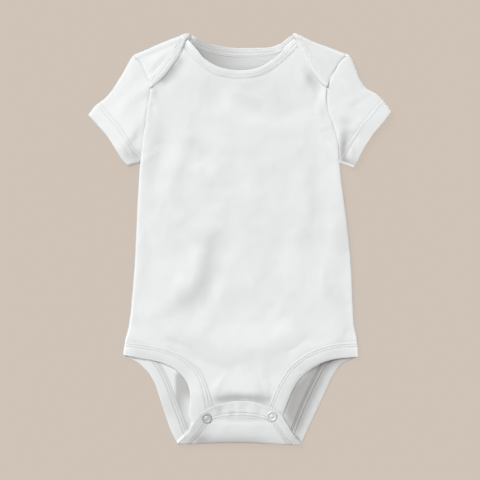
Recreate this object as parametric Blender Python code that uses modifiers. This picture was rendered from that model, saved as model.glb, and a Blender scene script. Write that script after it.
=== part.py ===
# Short-sleeved baby onesie laid flat on its back, front panel up.
# X runs across the chest, Y from the crotch to the neck, Z up from the table; tables are in mm.
# The back is cut in one with two shoulder laps and a crotch flap. Each of them turns over a
# fold line and lies on the front. Rib bands finish the neck and the legs, and two pairs of
# press snaps hold the flap to the front's tab.

import math
from collections import namedtuple

import bmesh
import bpy
from mathutils import Vector

MM = 0.001

# Cloth, mm
CLOTH = 1.2
BAND = 1.8
SEAM_GAP = 0.3
SLEEVE_GAP = 0.5
BAND_LIFT = (BAND - CLOTH) / 2

# Heights of the walls' middles above the table, mm
BACK_Z = CLOTH / 2
FRONT_Z = 2.7
LAP_FOLD_Z = 5.2
LAP_TIP_Z = 4.5
FLAP_FOLD_Z = 4.6
FLAP_SNAP_Z = 6.5
CUFF_Z = 3.6
UNDERARM_Z = 3.6
FRONT_SEAM_Z = 2.55
BACK_SEAM_Z = 1.85
SIDE_ROLL = 1.8
ROLL_END_Y = 105.0

# Fold lines of the laps and the flap, mm
NECK_POINT_LEFT = Vector((-51.5, 202.27))
NECK_POINT_RIGHT = Vector((53.8, 202.05))
SHOULDER_TIP_LEFT = Vector((-103.7, 179.75))
SHOULDER_TIP_RIGHT = Vector((105.3, 181.5))
NECK_BAND = 8.8
CROTCH_Y = -203.1
HEM_Y = -96.0
HEM_LEAN = 0.6

# Counts of faces
SHOULDER_STEPS = 5
NECK_STEPS = 18
LEG_STEPS = 10
CROTCH_STEPS = 8
ARMHOLE_STEPS = 8
LAP_STEPS = 6
FLAP_STEPS = 5
TURN_STEPS = 4
FRONT_LEG_ROWS = 7
FRONT_TRUNK_ROWS = 14
BACK_LEG_ROWS = 7
BACK_TRUNK_ROWS = 5
SLEEVE_ROWS = 6
BAND_COLUMNS = 2
ROLL_COLUMNS = (0.134, 0.5, 1.0)

Side = namedtuple("Side", "y left right")
Mark = namedtuple("Mark", "x y")
Strip = namedtuple("Strip", "edge_x edge_y seam_x seam_y")
Fold = namedtuple("Fold", "rise reach line")
SleeveCut = namedtuple("SleeveCut", "upper cuff under")

# Side seams, from the underarm down to the leg band's corner.
SIDES = (
    Side(78.3, -99.5, 99.5),
    Side(60.0, -100.5, 101.5),
    Side(35.0, -102.0, 103.8),
    Side(0.0, -103.5, 107.5),
    Side(-35.0, -105.5, 110.3),
    Side(-70.0, -108.5, 111.8),
    Side(-86.0, -110.6, 113.3),
    Side(-93.0, -112.2, 115.2),
    Side(-102.0, -114.8, 117.4),
    Side(-117.0, -116.8, 118.6),
)

# Armhole seams, from the underarm up to the shoulder fold.
ARMHOLE_LEFT = (
    Mark(-99.5, 78.3),
    Mark(-97.8, 92.0),
    Mark(-96.3, 106.0),
    Mark(-94.5, 120.0),
    Mark(-92.2, 134.4),
    Mark(-89.8, 148.0),
    Mark(-91.0, 157.0),
    Mark(-94.5, 166.5),
    Mark(-98.6, 175.0),
    Mark(*SHOULDER_TIP_LEFT),
)
ARMHOLE_RIGHT = (
    Mark(99.5, 78.3),
    Mark(98.3, 93.0),
    Mark(96.5, 103.0),
    Mark(93.3, 113.0),
    Mark(89.6, 125.0),
    Mark(86.4, 142.0),
    Mark(88.3, 155.0),
    Mark(92.7, 165.0),
    Mark(98.0, 174.0),
    Mark(*SHOULDER_TIP_RIGHT),
)

# Front neck band: its free edge, and the seam where it meets the front.
FRONT_NECK = (
    Strip(-52.6, 200.4, -60.0, 195.8),
    Strip(-43.7, 190.9, -51.5, 185.0),
    Strip(-35.8, 181.3, -42.0, 175.2),
    Strip(-23.8, 173.7, -28.0, 165.6),
    Strip(-11.8, 170.1, -13.8, 161.6),
    Strip(0.1, 169.0, 0.3, 160.5),
    Strip(11.3, 169.8, 13.0, 161.6),
    Strip(21.8, 173.0, 25.5, 165.6),
    Strip(32.3, 179.3, 37.8, 173.1),
    Strip(40.8, 186.6, 47.4, 181.2),
    Strip(48.1, 195.4, 55.3, 189.6),
    Strip(54.4, 200.4, 61.6, 195.4),
)

# Back neck band, from the left shoulder fold to the right one.
BACK_NECK = (
    Strip(-51.5, 202.27, -59.6, 198.78),
    Strip(-45.4, 201.2, -50.4, 194.0),
    Strip(-39.8, 199.0, -43.6, 191.2),
    Strip(-31.8, 195.3, -34.4, 187.2),
    Strip(-19.8, 192.5, -21.0, 184.0),
    Strip(-7.9, 190.9, -8.2, 182.4),
    Strip(3.5, 190.6, 3.5, 182.0),
    Strip(16.5, 190.8, 17.0, 182.3),
    Strip(30.2, 192.2, 32.6, 184.0),
    Strip(40.8, 196.0, 45.2, 188.7),
    Strip(47.2, 199.6, 52.8, 193.0),
    Strip(53.8, 202.05, 61.98, 198.8),
)

# Neck band on the laps, from the shoulder fold down to the armhole.
LAP_BAND_LEFT = (
    Strip(-51.5, 202.27, -59.6, 198.78),
    Strip(-55.7, 194.1, -64.0, 192.6),
    Strip(-60.5, 184.5, -68.8, 186.2),
    Strip(-67.7, 174.1, -75.2, 178.4),
    Strip(-74.8, 164.6, -81.8, 170.2),
    Strip(-80.5, 159.0, -87.0, 165.0),
    Strip(-89.4, 151.6, -91.9, 160.2),
)
LAP_BAND_RIGHT = (
    Strip(53.8, 202.05, 61.98, 198.8),
    Strip(57.4, 195.0, 65.8, 193.0),
    Strip(61.0, 186.6, 69.4, 186.4),
    Strip(67.1, 175.0, 75.0, 178.8),
    Strip(74.5, 164.5, 81.3, 169.4),
    Strip(81.8, 155.4, 86.6, 161.6),
    Strip(87.0, 151.8, 88.9, 157.4),
)
LAP_TIP_LEFT = 0.80
LAP_TIP_RIGHT = 0.76

# Front leg band, from the side seam to the tab's lower corner, and the tab's end between them.
FRONT_LEG_LEFT = (
    Strip(-116.2, -115.6, -114.2, -102.0),
    Strip(-99.0, -119.0, -95.8, -104.5),
    Strip(-88.1, -120.8, -80.6, -107.4),
    Strip(-75.5, -124.2, -68.0, -111.3),
    Strip(-63.9, -130.6, -54.3, -117.9),
    Strip(-54.6, -140.6, -41.8, -127.5),
    Strip(-50.5, -151.0, -34.6, -140.0),
    Strip(-49.8, -163.0, -29.6, -154.0),
    Strip(-50.4, -176.0, -26.0, -166.0),
    Strip(-45.6, -187.0, -20.0, -171.6),
)
FRONT_LEG_RIGHT = (
    Strip(38.2, -187.0, 18.6, -171.6),
    Strip(43.4, -173.0, 27.6, -166.6),
    Strip(48.0, -160.4, 31.0, -160.0),
    Strip(54.2, -147.2, 36.8, -146.0),
    Strip(60.8, -138.0, 44.6, -132.6),
    Strip(70.1, -130.0, 54.2, -122.4),
    Strip(80.0, -124.0, 66.4, -113.8),
    Strip(90.6, -120.5, 80.6, -107.4),
    Strip(101.0, -118.6, 97.6, -103.7),
    Strip(118.0, -117.2, 116.9, -102.4),
)

# Back leg band, from the side seam in to the crotch fold on the left, and out again.
BACK_LEG_LEFT = (
    Strip(-116.2, -116.4, -114.2, -102.0),
    Strip(-104.6, -121.6, -94.0, -110.6),
    Strip(-96.6, -127.6, -82.8, -119.6),
    Strip(-90.0, -135.2, -75.2, -131.4),
    Strip(-83.7, -146.0, -68.8, -145.2),
    Strip(-78.6, -161.0, -63.2, -160.0),
    Strip(-72.9, -178.0, -57.6, -174.0),
    Strip(-67.8, -192.0, -52.6, -188.0),
    Strip(-61.4, -203.1, -46.6, -203.1),
)
BACK_LEG_RIGHT = (
    Strip(60.6, -203.1, 46.0, -203.1),
    Strip(66.6, -191.0, 52.0, -188.0),
    Strip(73.4, -176.0, 58.2, -174.0),
    Strip(80.6, -160.0, 64.4, -159.6),
    Strip(86.6, -147.0, 70.6, -144.6),
    Strip(91.8, -137.4, 77.2, -131.6),
    Strip(98.6, -128.2, 84.8, -119.6),
    Strip(106.4, -122.0, 96.0, -110.8),
    Strip(118.0, -117.4, 116.9, -102.4),
)

# Flap: its sides above the crotch fold, and its rounded end between them.
FLAP_LEFT = (
    Strip(-61.4, -203.1, -46.6, -203.1),
    Strip(-52.8, -193.0, -38.6, -195.0),
    Strip(-46.6, -183.6, -34.0, -189.2),
    Strip(-39.6, -173.6, -28.4, -183.0),
)
FLAP_END = (
    Strip(-39.6, -173.6, -28.4, -183.0),
    Strip(-31.5, -168.8, -23.4, -180.6),
    Strip(-20.9, -164.5, -17.0, -179.4),
    Strip(-7.5, -161.8, -6.0, -178.8),
    Strip(4.0, -161.4, 4.0, -178.8),
    Strip(15.5, -162.6, 13.6, -179.6),
    Strip(27.9, -166.2, 22.6, -181.4),
    Strip(35.0, -169.8, 27.6, -183.2),
    Strip(41.0, -174.2, 31.8, -185.8),
)
FLAP_RIGHT = (
    Strip(60.6, -203.1, 46.0, -203.1),
    Strip(54.0, -195.2, 40.4, -197.4),
    Strip(47.6, -185.2, 36.0, -191.4),
    Strip(41.0, -174.2, 31.8, -185.8),
)

# Sleeves: the folded upper edge, the cuff, and the folded underarm, each as its outline.
SLEEVE_LEFT = SleeveCut(
    upper=(
        Mark(-108.9, 180.3),
        Mark(-114.0, 170.3),
        Mark(-121.4, 159.2),
        Mark(-128.0, 149.4),
        Mark(-135.4, 141.4),
        Mark(-144.2, 134.2),
        Mark(-152.0, 124.3),
    ),
    cuff=(
        Mark(-142.9, 114.8),
        Mark(-132.4, 103.2),
        Mark(-123.4, 90.0),
        Mark(-116.0, 79.0),
    ),
    under=(Mark(-99.8, 78.2), Mark(-106.0, 76.0), Mark(-111.5, 74.4)),
)
SLEEVE_RIGHT = SleeveCut(
    upper=(
        Mark(111.6, 180.6),
        Mark(117.2, 168.4),
        Mark(121.8, 158.4),
        Mark(127.2, 150.4),
        Mark(136.6, 144.4),
        Mark(144.0, 137.0),
        Mark(152.0, 126.6),
    ),
    cuff=(
        Mark(143.6, 117.6),
        Mark(134.4, 105.4),
        Mark(124.6, 90.4),
        Mark(118.4, 78.8),
    ),
    under=(Mark(99.8, 77.8), Mark(106.4, 74.2), Mark(112.8, 71.4)),
)

# Soft ridges (rise above 0) and troughs (below 0) in the front panel.
FRONT_FOLDS = (
    Fold(1.3, 12.0, (Mark(-96.0, 94.0), Mark(-102.0, -20.0), Mark(-114.0, -104.0))),
    Fold(1.3, 12.0, (Mark(97.0, 94.0), Mark(108.0, -30.0), Mark(117.0, -104.0))),
    Fold(0.9, 11.0, (Mark(-24.0, 170.0), Mark(0.0, 165.0), Mark(26.0, 171.0))),
    Fold(1.2, 12.0, (Mark(-80.0, -116.0), Mark(-54.0, -130.0), Mark(-44.0, -152.0))),
    Fold(1.2, 12.0, (Mark(84.0, -114.0), Mark(58.0, -128.0), Mark(42.0, -152.0))),
    Fold(2.4, 13.0, (Mark(-36.0, 4.0), Mark(-50.0, -32.0), Mark(-68.0, -62.0))),
    Fold(-0.9, 10.0, (Mark(-20.0, 2.0), Mark(-32.0, -36.0), Mark(-48.0, -70.0))),
    Fold(1.3, 12.0, (Mark(-56.0, 98.0), Mark(-72.0, 50.0))),
    Fold(-0.8, 10.0, (Mark(-80.0, 100.0), Mark(-87.0, 58.0))),
    Fold(1.3, 12.0, (Mark(94.0, 40.0), Mark(93.0, 6.0))),
    Fold(-0.8, 10.0, (Mark(77.0, 76.0), Mark(78.0, 2.0))),
    Fold(1.6, 15.0, (Mark(-62.0, -92.0), Mark(-6.0, -110.0), Mark(50.0, -98.0))),
    Fold(1.8, 11.0, (Mark(-16.0, -142.0), Mark(18.0, -142.0))),
)

# Press snaps: the centres of the pairs, and the sizes of one.
SNAP_LEFT = Vector((-33.3, -178.3))
SNAP_RIGHT = Vector((31.8, -176.6))
SNAP_RADIUS = 5.3
SNAP_SIDES = 16
SNAP_GAP = 0.25
BACK_RING_Z = 1.45
BACK_RING_THICK = 0.4
STUD_THICK = 0.6
SOCKET_THICK = 0.6


def lerp(a, b, share):
    return a + (b - a) * share


def ease(share):
    share = min(1.0, max(0.0, share))
    return share * share * (3.0 - 2.0 * share)


def steps(count):
    return [i / count for i in range(count + 1)]


def to_points(marks):
    return [Vector((mark.x, mark.y)) for mark in marks]


def through(points, position):
    """The point at a row position, such as 2.5, on the smooth line through the points."""
    last = len(points) - 1
    index = min(int(position), last - 1)
    t = position - index
    p1, p2 = points[index], points[index + 1]
    p0 = points[index - 1] if index > 0 else p1 * 2 - p2
    p3 = points[index + 2] if index + 2 <= last else p2 * 2 - p1
    return 0.5 * (
        p1 * 2
        + (p2 - p0) * t
        + (p0 * 2 - p1 * 5 + p2 * 4 - p3) * t * t
        + (p1 * 3 - p0 - p2 * 3 + p3) * t * t * t
    )


def positions(points, shares):
    """Row positions at the given shares of the length of the line through the points."""
    fine = 16
    count = (len(points) - 1) * fine
    marks = [through(points, i / fine) for i in range(count + 1)]
    lengths = [0.0]
    for a, b in zip(marks, marks[1:]):
        lengths.append(lengths[-1] + (b - a).length)
    found = []
    index = 0
    for share in shares:
        goal = share * lengths[-1]
        while index < count - 1 and lengths[index + 1] < goal:
            index += 1
        piece = lengths[index + 1] - lengths[index]
        found.append((index + (goal - lengths[index]) / piece) / fine)
    return found


def along(points, shares):
    return [through(points, position) for position in positions(points, shares)]


def on_polyline(points, share):
    """The point at a share of a faceted line whose points stand at even shares."""
    position = share * (len(points) - 1)
    index = min(int(position), len(points) - 2)
    return lerp(points[index], points[index + 1], position - index)


def inset(points, distance):
    """The line moved towards its left by a distance."""
    moved = []
    for i, point in enumerate(points):
        before = points[max(i - 1, 0)]
        after = points[min(i + 1, len(points) - 1)]
        direction = (after - before).normalized()
        moved.append(point + Vector((-direction.y, direction.x)) * distance)
    return moved


def sections(strip, shares):
    """Pairs of free edge point and seam point of a band, at shares of its length."""
    edges = [Vector((row.edge_x, row.edge_y)) for row in strip]
    seams = [Vector((row.seam_x, row.seam_y)) for row in strip]
    middles = [lerp(edge, seam, 0.5) for edge, seam in zip(edges, seams)]
    return [(through(edges, p), through(seams, p)) for p in positions(middles, shares)]


def cut_edge(pairs):
    """The panel's edge beside a band: the seam, moved away from the band by the gap."""
    return [seam + (seam - edge).normalized() * SEAM_GAP for edge, seam in pairs]


def side_x(y, left):
    """The side seam's outline at a height on the table."""
    value = "left" if left else "right"
    if y >= SIDES[0].y:
        return getattr(SIDES[0], value)
    for above, below in zip(SIDES, SIDES[1:]):
        if y >= below.y:
            share = (above.y - y) / (above.y - below.y)
            return lerp(getattr(above, value), getattr(below, value), share)
    return getattr(SIDES[-1], value)


def side_edge(y, left):
    """The middle of the wall where it stands upright at the side seam."""
    inward = CLOTH / 2 if left else -CLOTH / 2
    return Vector((side_x(y, left) + inward, y))


def side_depth(point):
    """How far a point lies inside the nearer side seam."""
    if point.y > ROLL_END_Y:
        return SIDE_ROLL
    from_left = point.x - side_edge(point.y, True).x
    from_right = side_edge(point.y, False).x - point.x
    return max(0.0, min(from_left, from_right))


def opening(y):
    """The side seam's halves part a little towards the underarm."""
    return 0.35 * ease((y - 40.0) / 38.0)


def rolled(level, depth, seam_z):
    """The wall's height, turned down or up to the side seam in a quarter round."""
    if depth >= SIDE_ROLL:
        return level
    share = 1.0 - depth / SIDE_ROLL
    return seam_z + (level - seam_z) * math.sqrt(max(0.0, 1.0 - share * share))


def distance_to(point, line):
    nearest = 1e9
    for a, b in zip(line, line[1:]):
        run = b - a
        share = min(1.0, max(0.0, (point - a).dot(run) / run.length_squared))
        nearest = min(nearest, (a + run * share - point).length)
    return nearest


def front_z(point, lift=0.0):
    level = FRONT_Z + lift
    for fold in FRONT_FOLDS:
        distance = distance_to(point, to_points(fold.line))
        level += fold.rise * math.exp(-((distance / fold.reach) ** 2))
    return rolled(level, side_depth(point), FRONT_SEAM_Z + lift + opening(point.y))


def back_z(point, lift=0.0):
    return rolled(BACK_Z + lift, side_depth(point), BACK_SEAM_Z - opening(point.y))


def flap_z(point, lift=0.0):
    """The flap climbs from the crotch fold to the snaps."""
    return lift + lerp(FLAP_FOLD_Z, FLAP_SNAP_Z, ease((point.y - CROTCH_Y) / 20.0))


def raised(point, level):
    return Vector((point.x, point.y, level))


def coons(bottom, top, left, right, across, up):
    """Rows of points between four edges that share their corners."""
    rows = []
    for j, v in enumerate(up):
        row = []
        for i, u in enumerate(across):
            point = lerp(bottom[i], top[i], v) + lerp(left[j], right[j], u)
            point -= lerp(
                lerp(bottom[0], bottom[-1], u), lerp(top[0], top[-1], u), v
            )
            row.append(point)
        rows.append(row)
    return rows


def straight(a, b, shares):
    return [lerp(a, b, share) for share in shares]


def turn(points, outward, low, high):
    """Rows of a half round that carries points on a fold line from one height to another."""
    radius = (high - low) / 2
    rows = []
    for share in steps(TURN_STEPS)[1:-1]:
        angle = share * math.pi
        shift = outward * radius * math.sin(angle)
        level = low + radius - radius * math.cos(angle)
        rows.append([raised(point + shift, level) for point in points])
    return rows


def start_shares(count, length):
    """Even shares, with more of them close to the start for the roll at the side seam."""
    near = [part * SIDE_ROLL / length for part in ROLL_COLUMNS]
    return [0.0] + near + steps(count)[1:]


def end_shares(count, length):
    return [1.0 - share for share in reversed(start_shares(count, length))]


def edge_shares(count, length):
    near = [part * SIDE_ROLL / length for part in ROLL_COLUMNS]
    far = [1.0 - share for share in reversed(near)]
    return [0.0] + near + steps(count)[1:-1] + far + [1.0]


def add_grid(bm, rows):
    """A grid primitive whose points are moved to the rows' places."""
    made = bmesh.ops.create_grid(bm, x_segments=len(rows[0]) - 1, y_segments=len(rows) - 1)
    places = [point for row in rows for point in row]
    for vert, place in zip(made["verts"], places):
        vert.co = place * MM


def new_object(name, bm, material):
    bmesh.ops.remove_doubles(bm, verts=bm.verts, dist=0.00001)
    mesh = bpy.data.meshes.new(name)
    bm.to_mesh(mesh)
    bm.free()
    mesh.materials.append(material)
    made = bpy.data.objects.new(name, mesh)
    garment.objects.link(made)
    return made


def sheet(name, grids, thickness, material):
    """An open surface of one or more grids, given its wall."""
    bm = bmesh.new()
    for rows in grids:
        add_grid(bm, rows)
    made = new_object(name, bm, material)
    wall = made.modifiers.new("Cloth wall", "SOLIDIFY")
    wall.thickness = thickness * MM
    wall.offset = 0.0
    wall.use_even_offset = True
    made.data.shade_smooth()
    return made


def band(name, rows, material):
    made = sheet(name, [rows], BAND, material)
    rounding = made.modifiers.new("Rounded edges", "BEVEL")
    rounding.width = 0.4 * MM
    rounding.segments = 1
    rounding.limit_method = "ANGLE"
    rounding.angle_limit = math.radians(60)
    return made


def paint(name, colour, roughness, metallic):
    material = bpy.data.materials.new(name)
    material.use_nodes = True
    shader = material.node_tree.nodes["Principled BSDF"]
    shader.inputs["Base Color"].default_value = (*colour, 1.0)
    shader.inputs["Roughness"].default_value = roughness
    shader.inputs["Metallic"].default_value = metallic
    return material


def band_rows(pairs, height):
    """One row of points across the band for each section, from the seam to the free edge."""
    rows = []
    for edge, seam in pairs:
        points = [lerp(seam, edge, share) for share in steps(BAND_COLUMNS)]
        rows.append([raised(point, height(point, BAND_LIFT)) for point in points])
    return rows


def band_turn(pair, outward, low, high):
    edge, seam = pair
    points = [lerp(seam, edge, share) for share in steps(BAND_COLUMNS)]
    return turn(points, outward, low + BAND_LIFT, high + BAND_LIFT)


def outward_of(a, b):
    """The unit direction across a fold line, away from the garment's middle."""
    direction = (b - a).normalized()
    across = Vector((-direction.y, direction.x))
    return across if across.dot(a + b) > 0 else -across


def armhole(left):
    marks = ARMHOLE_LEFT if left else ARMHOLE_RIGHT
    return along(to_points(marks), steps(ARMHOLE_STEPS))


def lap_edge_z(share):
    """The lap's height beside its band, from the fold (0) to the tip (1)."""
    return lerp(LAP_FOLD_Z, LAP_TIP_Z + 0.3, share)


def lap_arm_z(share):
    return lerp(LAP_FOLD_Z, LAP_TIP_Z, ease(share))


def rescaled(shares):
    return [(share - shares[0]) / (shares[-1] - shares[0]) for share in shares]


ACROSS = edge_shares(2 * LEG_STEPS + CROTCH_STEPS, 210.0)
LEG_COLUMNS = LEG_STEPS + len(ROLL_COLUMNS)
LEG_A = rescaled(ACROSS[: LEG_COLUMNS + 1])
LEG_B = rescaled(ACROSS[-LEG_COLUMNS - 1 :])
SHOULDER = steps(SHOULDER_STEPS + len(ROLL_COLUMNS))
NECK = steps(NECK_STEPS)
CROTCH = steps(CROTCH_STEPS)


def joined(first, *others):
    """Lines put end to end; each starts where the one before it ends."""
    line = list(first)
    for other in others:
        line += other[1:]
    return line


def front_leg_sections():
    left = sections(FRONT_LEG_LEFT, LEG_A)
    right = sections(FRONT_LEG_RIGHT, LEG_B)
    tab = [
        (lerp(left[-1][0], right[0][0], share), lerp(left[-1][1], right[0][1], share))
        for share in CROTCH
    ]
    return joined(left, tab, right)


def back_leg_sections():
    """The back leg bands' sections: side seam to crotch fold, and crotch fold to side seam."""
    left = sections(BACK_LEG_LEFT, LEG_A)
    right = sections(BACK_LEG_RIGHT, LEG_B)
    return left, right


def flap_sections():
    """The flap band's sections, split in its left side, its end and its right side."""
    left = sections(FLAP_LEFT, steps(FLAP_STEPS))
    end = sections(FLAP_END, CROTCH)
    right = sections(FLAP_RIGHT, steps(FLAP_STEPS))
    return left, end, right


def body(bottom, neck, leg_rows, trunk_rows, reach):
    """Rows of a panel from its leg and crotch edge, past the waist, to the shoulders."""
    width = bottom[-1].x - bottom[0].x
    under = [(point.x - bottom[0].x) / width for point in bottom]
    shares = [lerp(share, below, HEM_LEAN) for share, below in zip(ACROSS, under)]
    hem = straight(side_edge(HEM_Y, True), side_edge(HEM_Y, False), shares)
    up = steps(leg_rows)
    left = straight(bottom[0], hem[0], up)
    right = straight(bottom[-1], hem[-1], up)
    rows = coons(bottom, hem, left, right, ACROSS, up)
    underarm_y = SIDES[0].y
    for rise in steps(trunk_rows)[1:]:
        y = lerp(HEM_Y, underarm_y, rise)
        even = [lerp(a, b, ease(rise * 2.0)) for a, b in zip(shares, ACROSS)]
        rows.append(straight(side_edge(y, True), side_edge(y, False), even))
    left, right = armhole(True), armhole(False)
    left[0], right[0] = side_edge(underarm_y, True), side_edge(underarm_y, False)
    left[-1] = lerp(left[-2], left[-1], reach)
    right[-1] = lerp(right[-2], right[-1], reach)
    left_shoulder = straight(left[-1], neck[0], SHOULDER)
    right_shoulder = straight(neck[-1], right[-1], SHOULDER)
    top = joined(left_shoulder, neck, right_shoulder)
    return rows + coons(rows[-1], top, left, right, ACROSS, steps(ARMHOLE_STEPS))[1:]


def make_front(material):
    legs = cut_edge(front_leg_sections())
    neck = cut_edge(sections(FRONT_NECK, NECK))
    flat = body(legs, neck, FRONT_LEG_ROWS, FRONT_TRUNK_ROWS, 0.7)
    rows = [[raised(point, front_z(point)) for point in row] for row in flat]
    return sheet("front_panel", [rows], CLOTH, material)


def lap_grid(left):
    """The lap beyond its shoulder fold: the turn, then the part that lies on the front."""
    tip = SHOULDER_TIP_LEFT if left else SHOULDER_TIP_RIGHT
    strip = LAP_BAND_LEFT if left else LAP_BAND_RIGHT
    seam = cut_edge(sections(strip, steps(LAP_STEPS)))
    seam[0] = shoulder_corner(left)
    arm = armhole(left)
    half = LAP_STEPS // 2
    knee = (ARMHOLE_STEPS - 1) / ARMHOLE_STEPS
    last = LAP_TIP_LEFT if left else LAP_TIP_RIGHT
    shares = straight(1.0, knee, steps(half)) + straight(knee, last, steps(half))[1:]
    fold = straight(tip, seam[0], SHOULDER)
    rows = turn(fold, outward_of(tip, seam[0]), BACK_Z, LAP_FOLD_Z)
    rows.insert(0, [raised(point, BACK_Z) for point in fold])
    for k, share in enumerate(shares):
        progress = k / LAP_STEPS
        outer = raised(on_polyline(arm, share), lap_arm_z(progress))
        inner = raised(seam[k], lap_edge_z(progress))
        rows.append(straight(outer, inner, SHOULDER))
    return rows if left else [list(reversed(row)) for row in rows]


def shoulder_corner(left):
    """Where the lap's band ends on the shoulder fold, beside the panel."""
    point = NECK_POINT_LEFT if left else NECK_POINT_RIGHT
    tip = SHOULDER_TIP_LEFT if left else SHOULDER_TIP_RIGHT
    return point + (tip - point).normalized() * (NECK_BAND + SEAM_GAP)


def flap_grid(fold):
    """The flap beyond the crotch fold: the turn, then the part that lies on the front."""
    left_flap, end_flap, right_flap = flap_sections()
    left, right, end = cut_edge(left_flap), cut_edge(right_flap), cut_edge(end_flap)
    left[0], right[0] = fold[0], fold[-1]
    left[-1], right[-1] = end[0], end[-1]
    flap = coons(fold, end, left, right, CROTCH, steps(FLAP_STEPS))
    rows = [[raised(point, BACK_Z) for point in fold]]
    rows += turn(fold, Vector((0.0, -1.0)), BACK_Z, FLAP_FOLD_Z)
    rows += [[raised(point, flap_z(point)) for point in row] for row in flap]
    return list(reversed(rows))


def make_back(material):
    left_leg, right_leg = back_leg_sections()
    left, right = cut_edge(left_leg), cut_edge(right_leg)
    fold = straight(left[-1], right[0], CROTCH)
    neck = cut_edge(sections(BACK_NECK, NECK))
    neck[0], neck[-1] = shoulder_corner(True), shoulder_corner(False)
    flat = body(joined(left, fold, right), neck, BACK_LEG_ROWS, BACK_TRUNK_ROWS, 1.0)
    rows = [[raised(point, back_z(point)) for point in row] for row in flat]
    grids = [rows, flap_grid(fold), lap_grid(True), lap_grid(False)]
    return sheet("back_panel", grids, CLOTH, material)


def make_front_neck_band(material):
    pairs = sections(FRONT_NECK, NECK)
    return band("neck_binding_front", band_rows(pairs, front_z), material)


def lap_band_rows(left):
    """The neck band's rows on one lap, from the tip up to the shoulder fold."""
    strip = LAP_BAND_LEFT if left else LAP_BAND_RIGHT
    rows = []
    for k, (edge, seam) in enumerate(sections(strip, steps(LAP_STEPS))):
        level = lap_edge_z(k / LAP_STEPS) + BAND_LIFT
        rows.append([raised(lerp(seam, edge, share), level) for share in steps(BAND_COLUMNS)])
    return list(reversed(rows))


def make_back_neck_band(material):
    pairs = sections(BACK_NECK, NECK)
    out_left = outward_of(SHOULDER_TIP_LEFT, NECK_POINT_LEFT)
    out_right = outward_of(NECK_POINT_RIGHT, SHOULDER_TIP_RIGHT)
    left_turn = band_turn(pairs[0], out_left, BACK_Z, LAP_FOLD_Z)
    right_turn = band_turn(pairs[-1], out_right, BACK_Z, LAP_FOLD_Z)
    rows = lap_band_rows(True)
    rows += list(reversed(left_turn))
    rows += band_rows(pairs, back_z)
    rows += right_turn
    rows += list(reversed(lap_band_rows(False)))
    return band("neck_binding_back", rows, material)


def make_front_leg_band(material):
    rows = band_rows(front_leg_sections(), front_z)
    return band("leg_binding_front", rows, material)


def make_back_leg_band(material):
    left_leg, right_leg = back_leg_sections()
    left_flap, end_flap, right_flap = flap_sections()
    flap = joined(left_flap, end_flap, list(reversed(right_flap)))
    down = Vector((0.0, -1.0))
    rows = band_rows(left_leg, back_z)
    rows += band_turn(left_leg[-1], down, BACK_Z, FLAP_FOLD_Z)
    rows += band_rows(flap, flap_z)
    rows += list(reversed(band_turn(right_leg[0], down, BACK_Z, FLAP_FOLD_Z)))
    rows += band_rows(right_leg, back_z)
    return band("leg_binding_back", rows, material)


def arm_z(share, point):
    """The top wall's height at the armhole, from the underarm (0) to the shoulder fold (1)."""
    on_front = lerp(UNDERARM_Z, FRONT_Z + 0.3, ease(share / 0.3))
    on_lap = lerp(LAP_TIP_Z, LAP_FOLD_Z, ease((share - 0.78) / 0.22))
    return lerp(on_front, on_lap, ease((share - 0.55) / 0.2))


def make_sleeve(name, cut, left, material):
    """Rings from the armhole to the cuff: top wall, underarm round, table wall, upper round."""
    sign = -1.0 if left else 1.0
    shift = Vector((sign * SLEEVE_GAP, 0.0))
    tip = SHOULDER_TIP_LEFT if left else SHOULDER_TIP_RIGHT
    neck = NECK_POINT_LEFT if left else NECK_POINT_RIGHT
    start = [point + shift for point in reversed(armhole(left))]
    start[-1] = lerp(start[-2], start[-1], 0.84)
    upper_marks = inset(to_points(cut.upper), 2.2 * -sign)
    upper_marks[0] = start[0]
    under_marks = inset(to_points(cut.under), 2.1 * sign)
    under_marks[0] = start[-1]
    upper = along(upper_marks, steps(SLEEVE_ROWS))
    under = along(under_marks, steps(SLEEVE_ROWS))
    cuff_marks = [upper[-1]] + to_points(cut.cuff) + [under[-1]]
    cuff = along(cuff_marks, steps(ARMHOLE_STEPS))
    down = steps(SLEEVE_ROWS)
    around = steps(ARMHOLE_STEPS)
    flat = coons(start, cuff, upper, under, around, down)
    outs = inset(upper, sign)
    rows = []
    for k, row in enumerate(flat):
        w = down[k]
        top = []
        for j, point in enumerate(row):
            level = lerp(arm_z(1.0 - around[j], point), CUFF_Z, ease(w * 1.4))
            puff = 0.7 * math.sin(math.pi * around[j]) * math.sin(math.pi * w)
            top.append(raised(point, level + puff))
        if k == 0:
            out_top = outward_of(tip, neck)
            out_low = Vector((sign * 0.1, -1.0)).normalized()
        else:
            out_top = (outs[k] - upper[k]).normalized()
            out_low = Vector((sign * 0.1 - sign * 0.3 * w, -1.0)).normalized()
        low_turn = turn([row[-1]], out_low, BACK_Z, top[-1].z)
        top_turn = turn([row[0]], out_top, BACK_Z, top[0].z)
        ring = top + [part[0] for part in reversed(low_turn)]
        ring += [raised(point, BACK_Z) for point in reversed(row)]
        ring += [part[0] for part in top_turn]
        ring.append(top[0])
        rows.append(ring)
    return sheet(name, [rows], CLOTH, material)


def turned(name, profile, place, material):
    """A round piece from its profile, as pairs of radius and height, top to bottom."""
    mesh = bpy.data.meshes.new(name)
    points = [(radius * MM, 0.0, level * MM) for radius, level in profile]
    edges = [(i, i + 1) for i in range(len(points) - 1)]
    if profile[0][0] > 0.0:
        edges.append((len(points) - 1, 0))
    mesh.from_pydata(points, edges, [])
    mesh.materials.append(material)
    made = bpy.data.objects.new(name, mesh)
    made.location = place * MM
    garment.objects.link(made)
    lathe = made.modifiers.new("Lathe", "SCREW")
    lathe.steps = SNAP_SIDES
    lathe.render_steps = SNAP_SIDES
    lathe.use_merge_vertices = True
    lathe.merge_threshold = 0.00001
    lathe.use_smooth_shade = True
    return made


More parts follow.
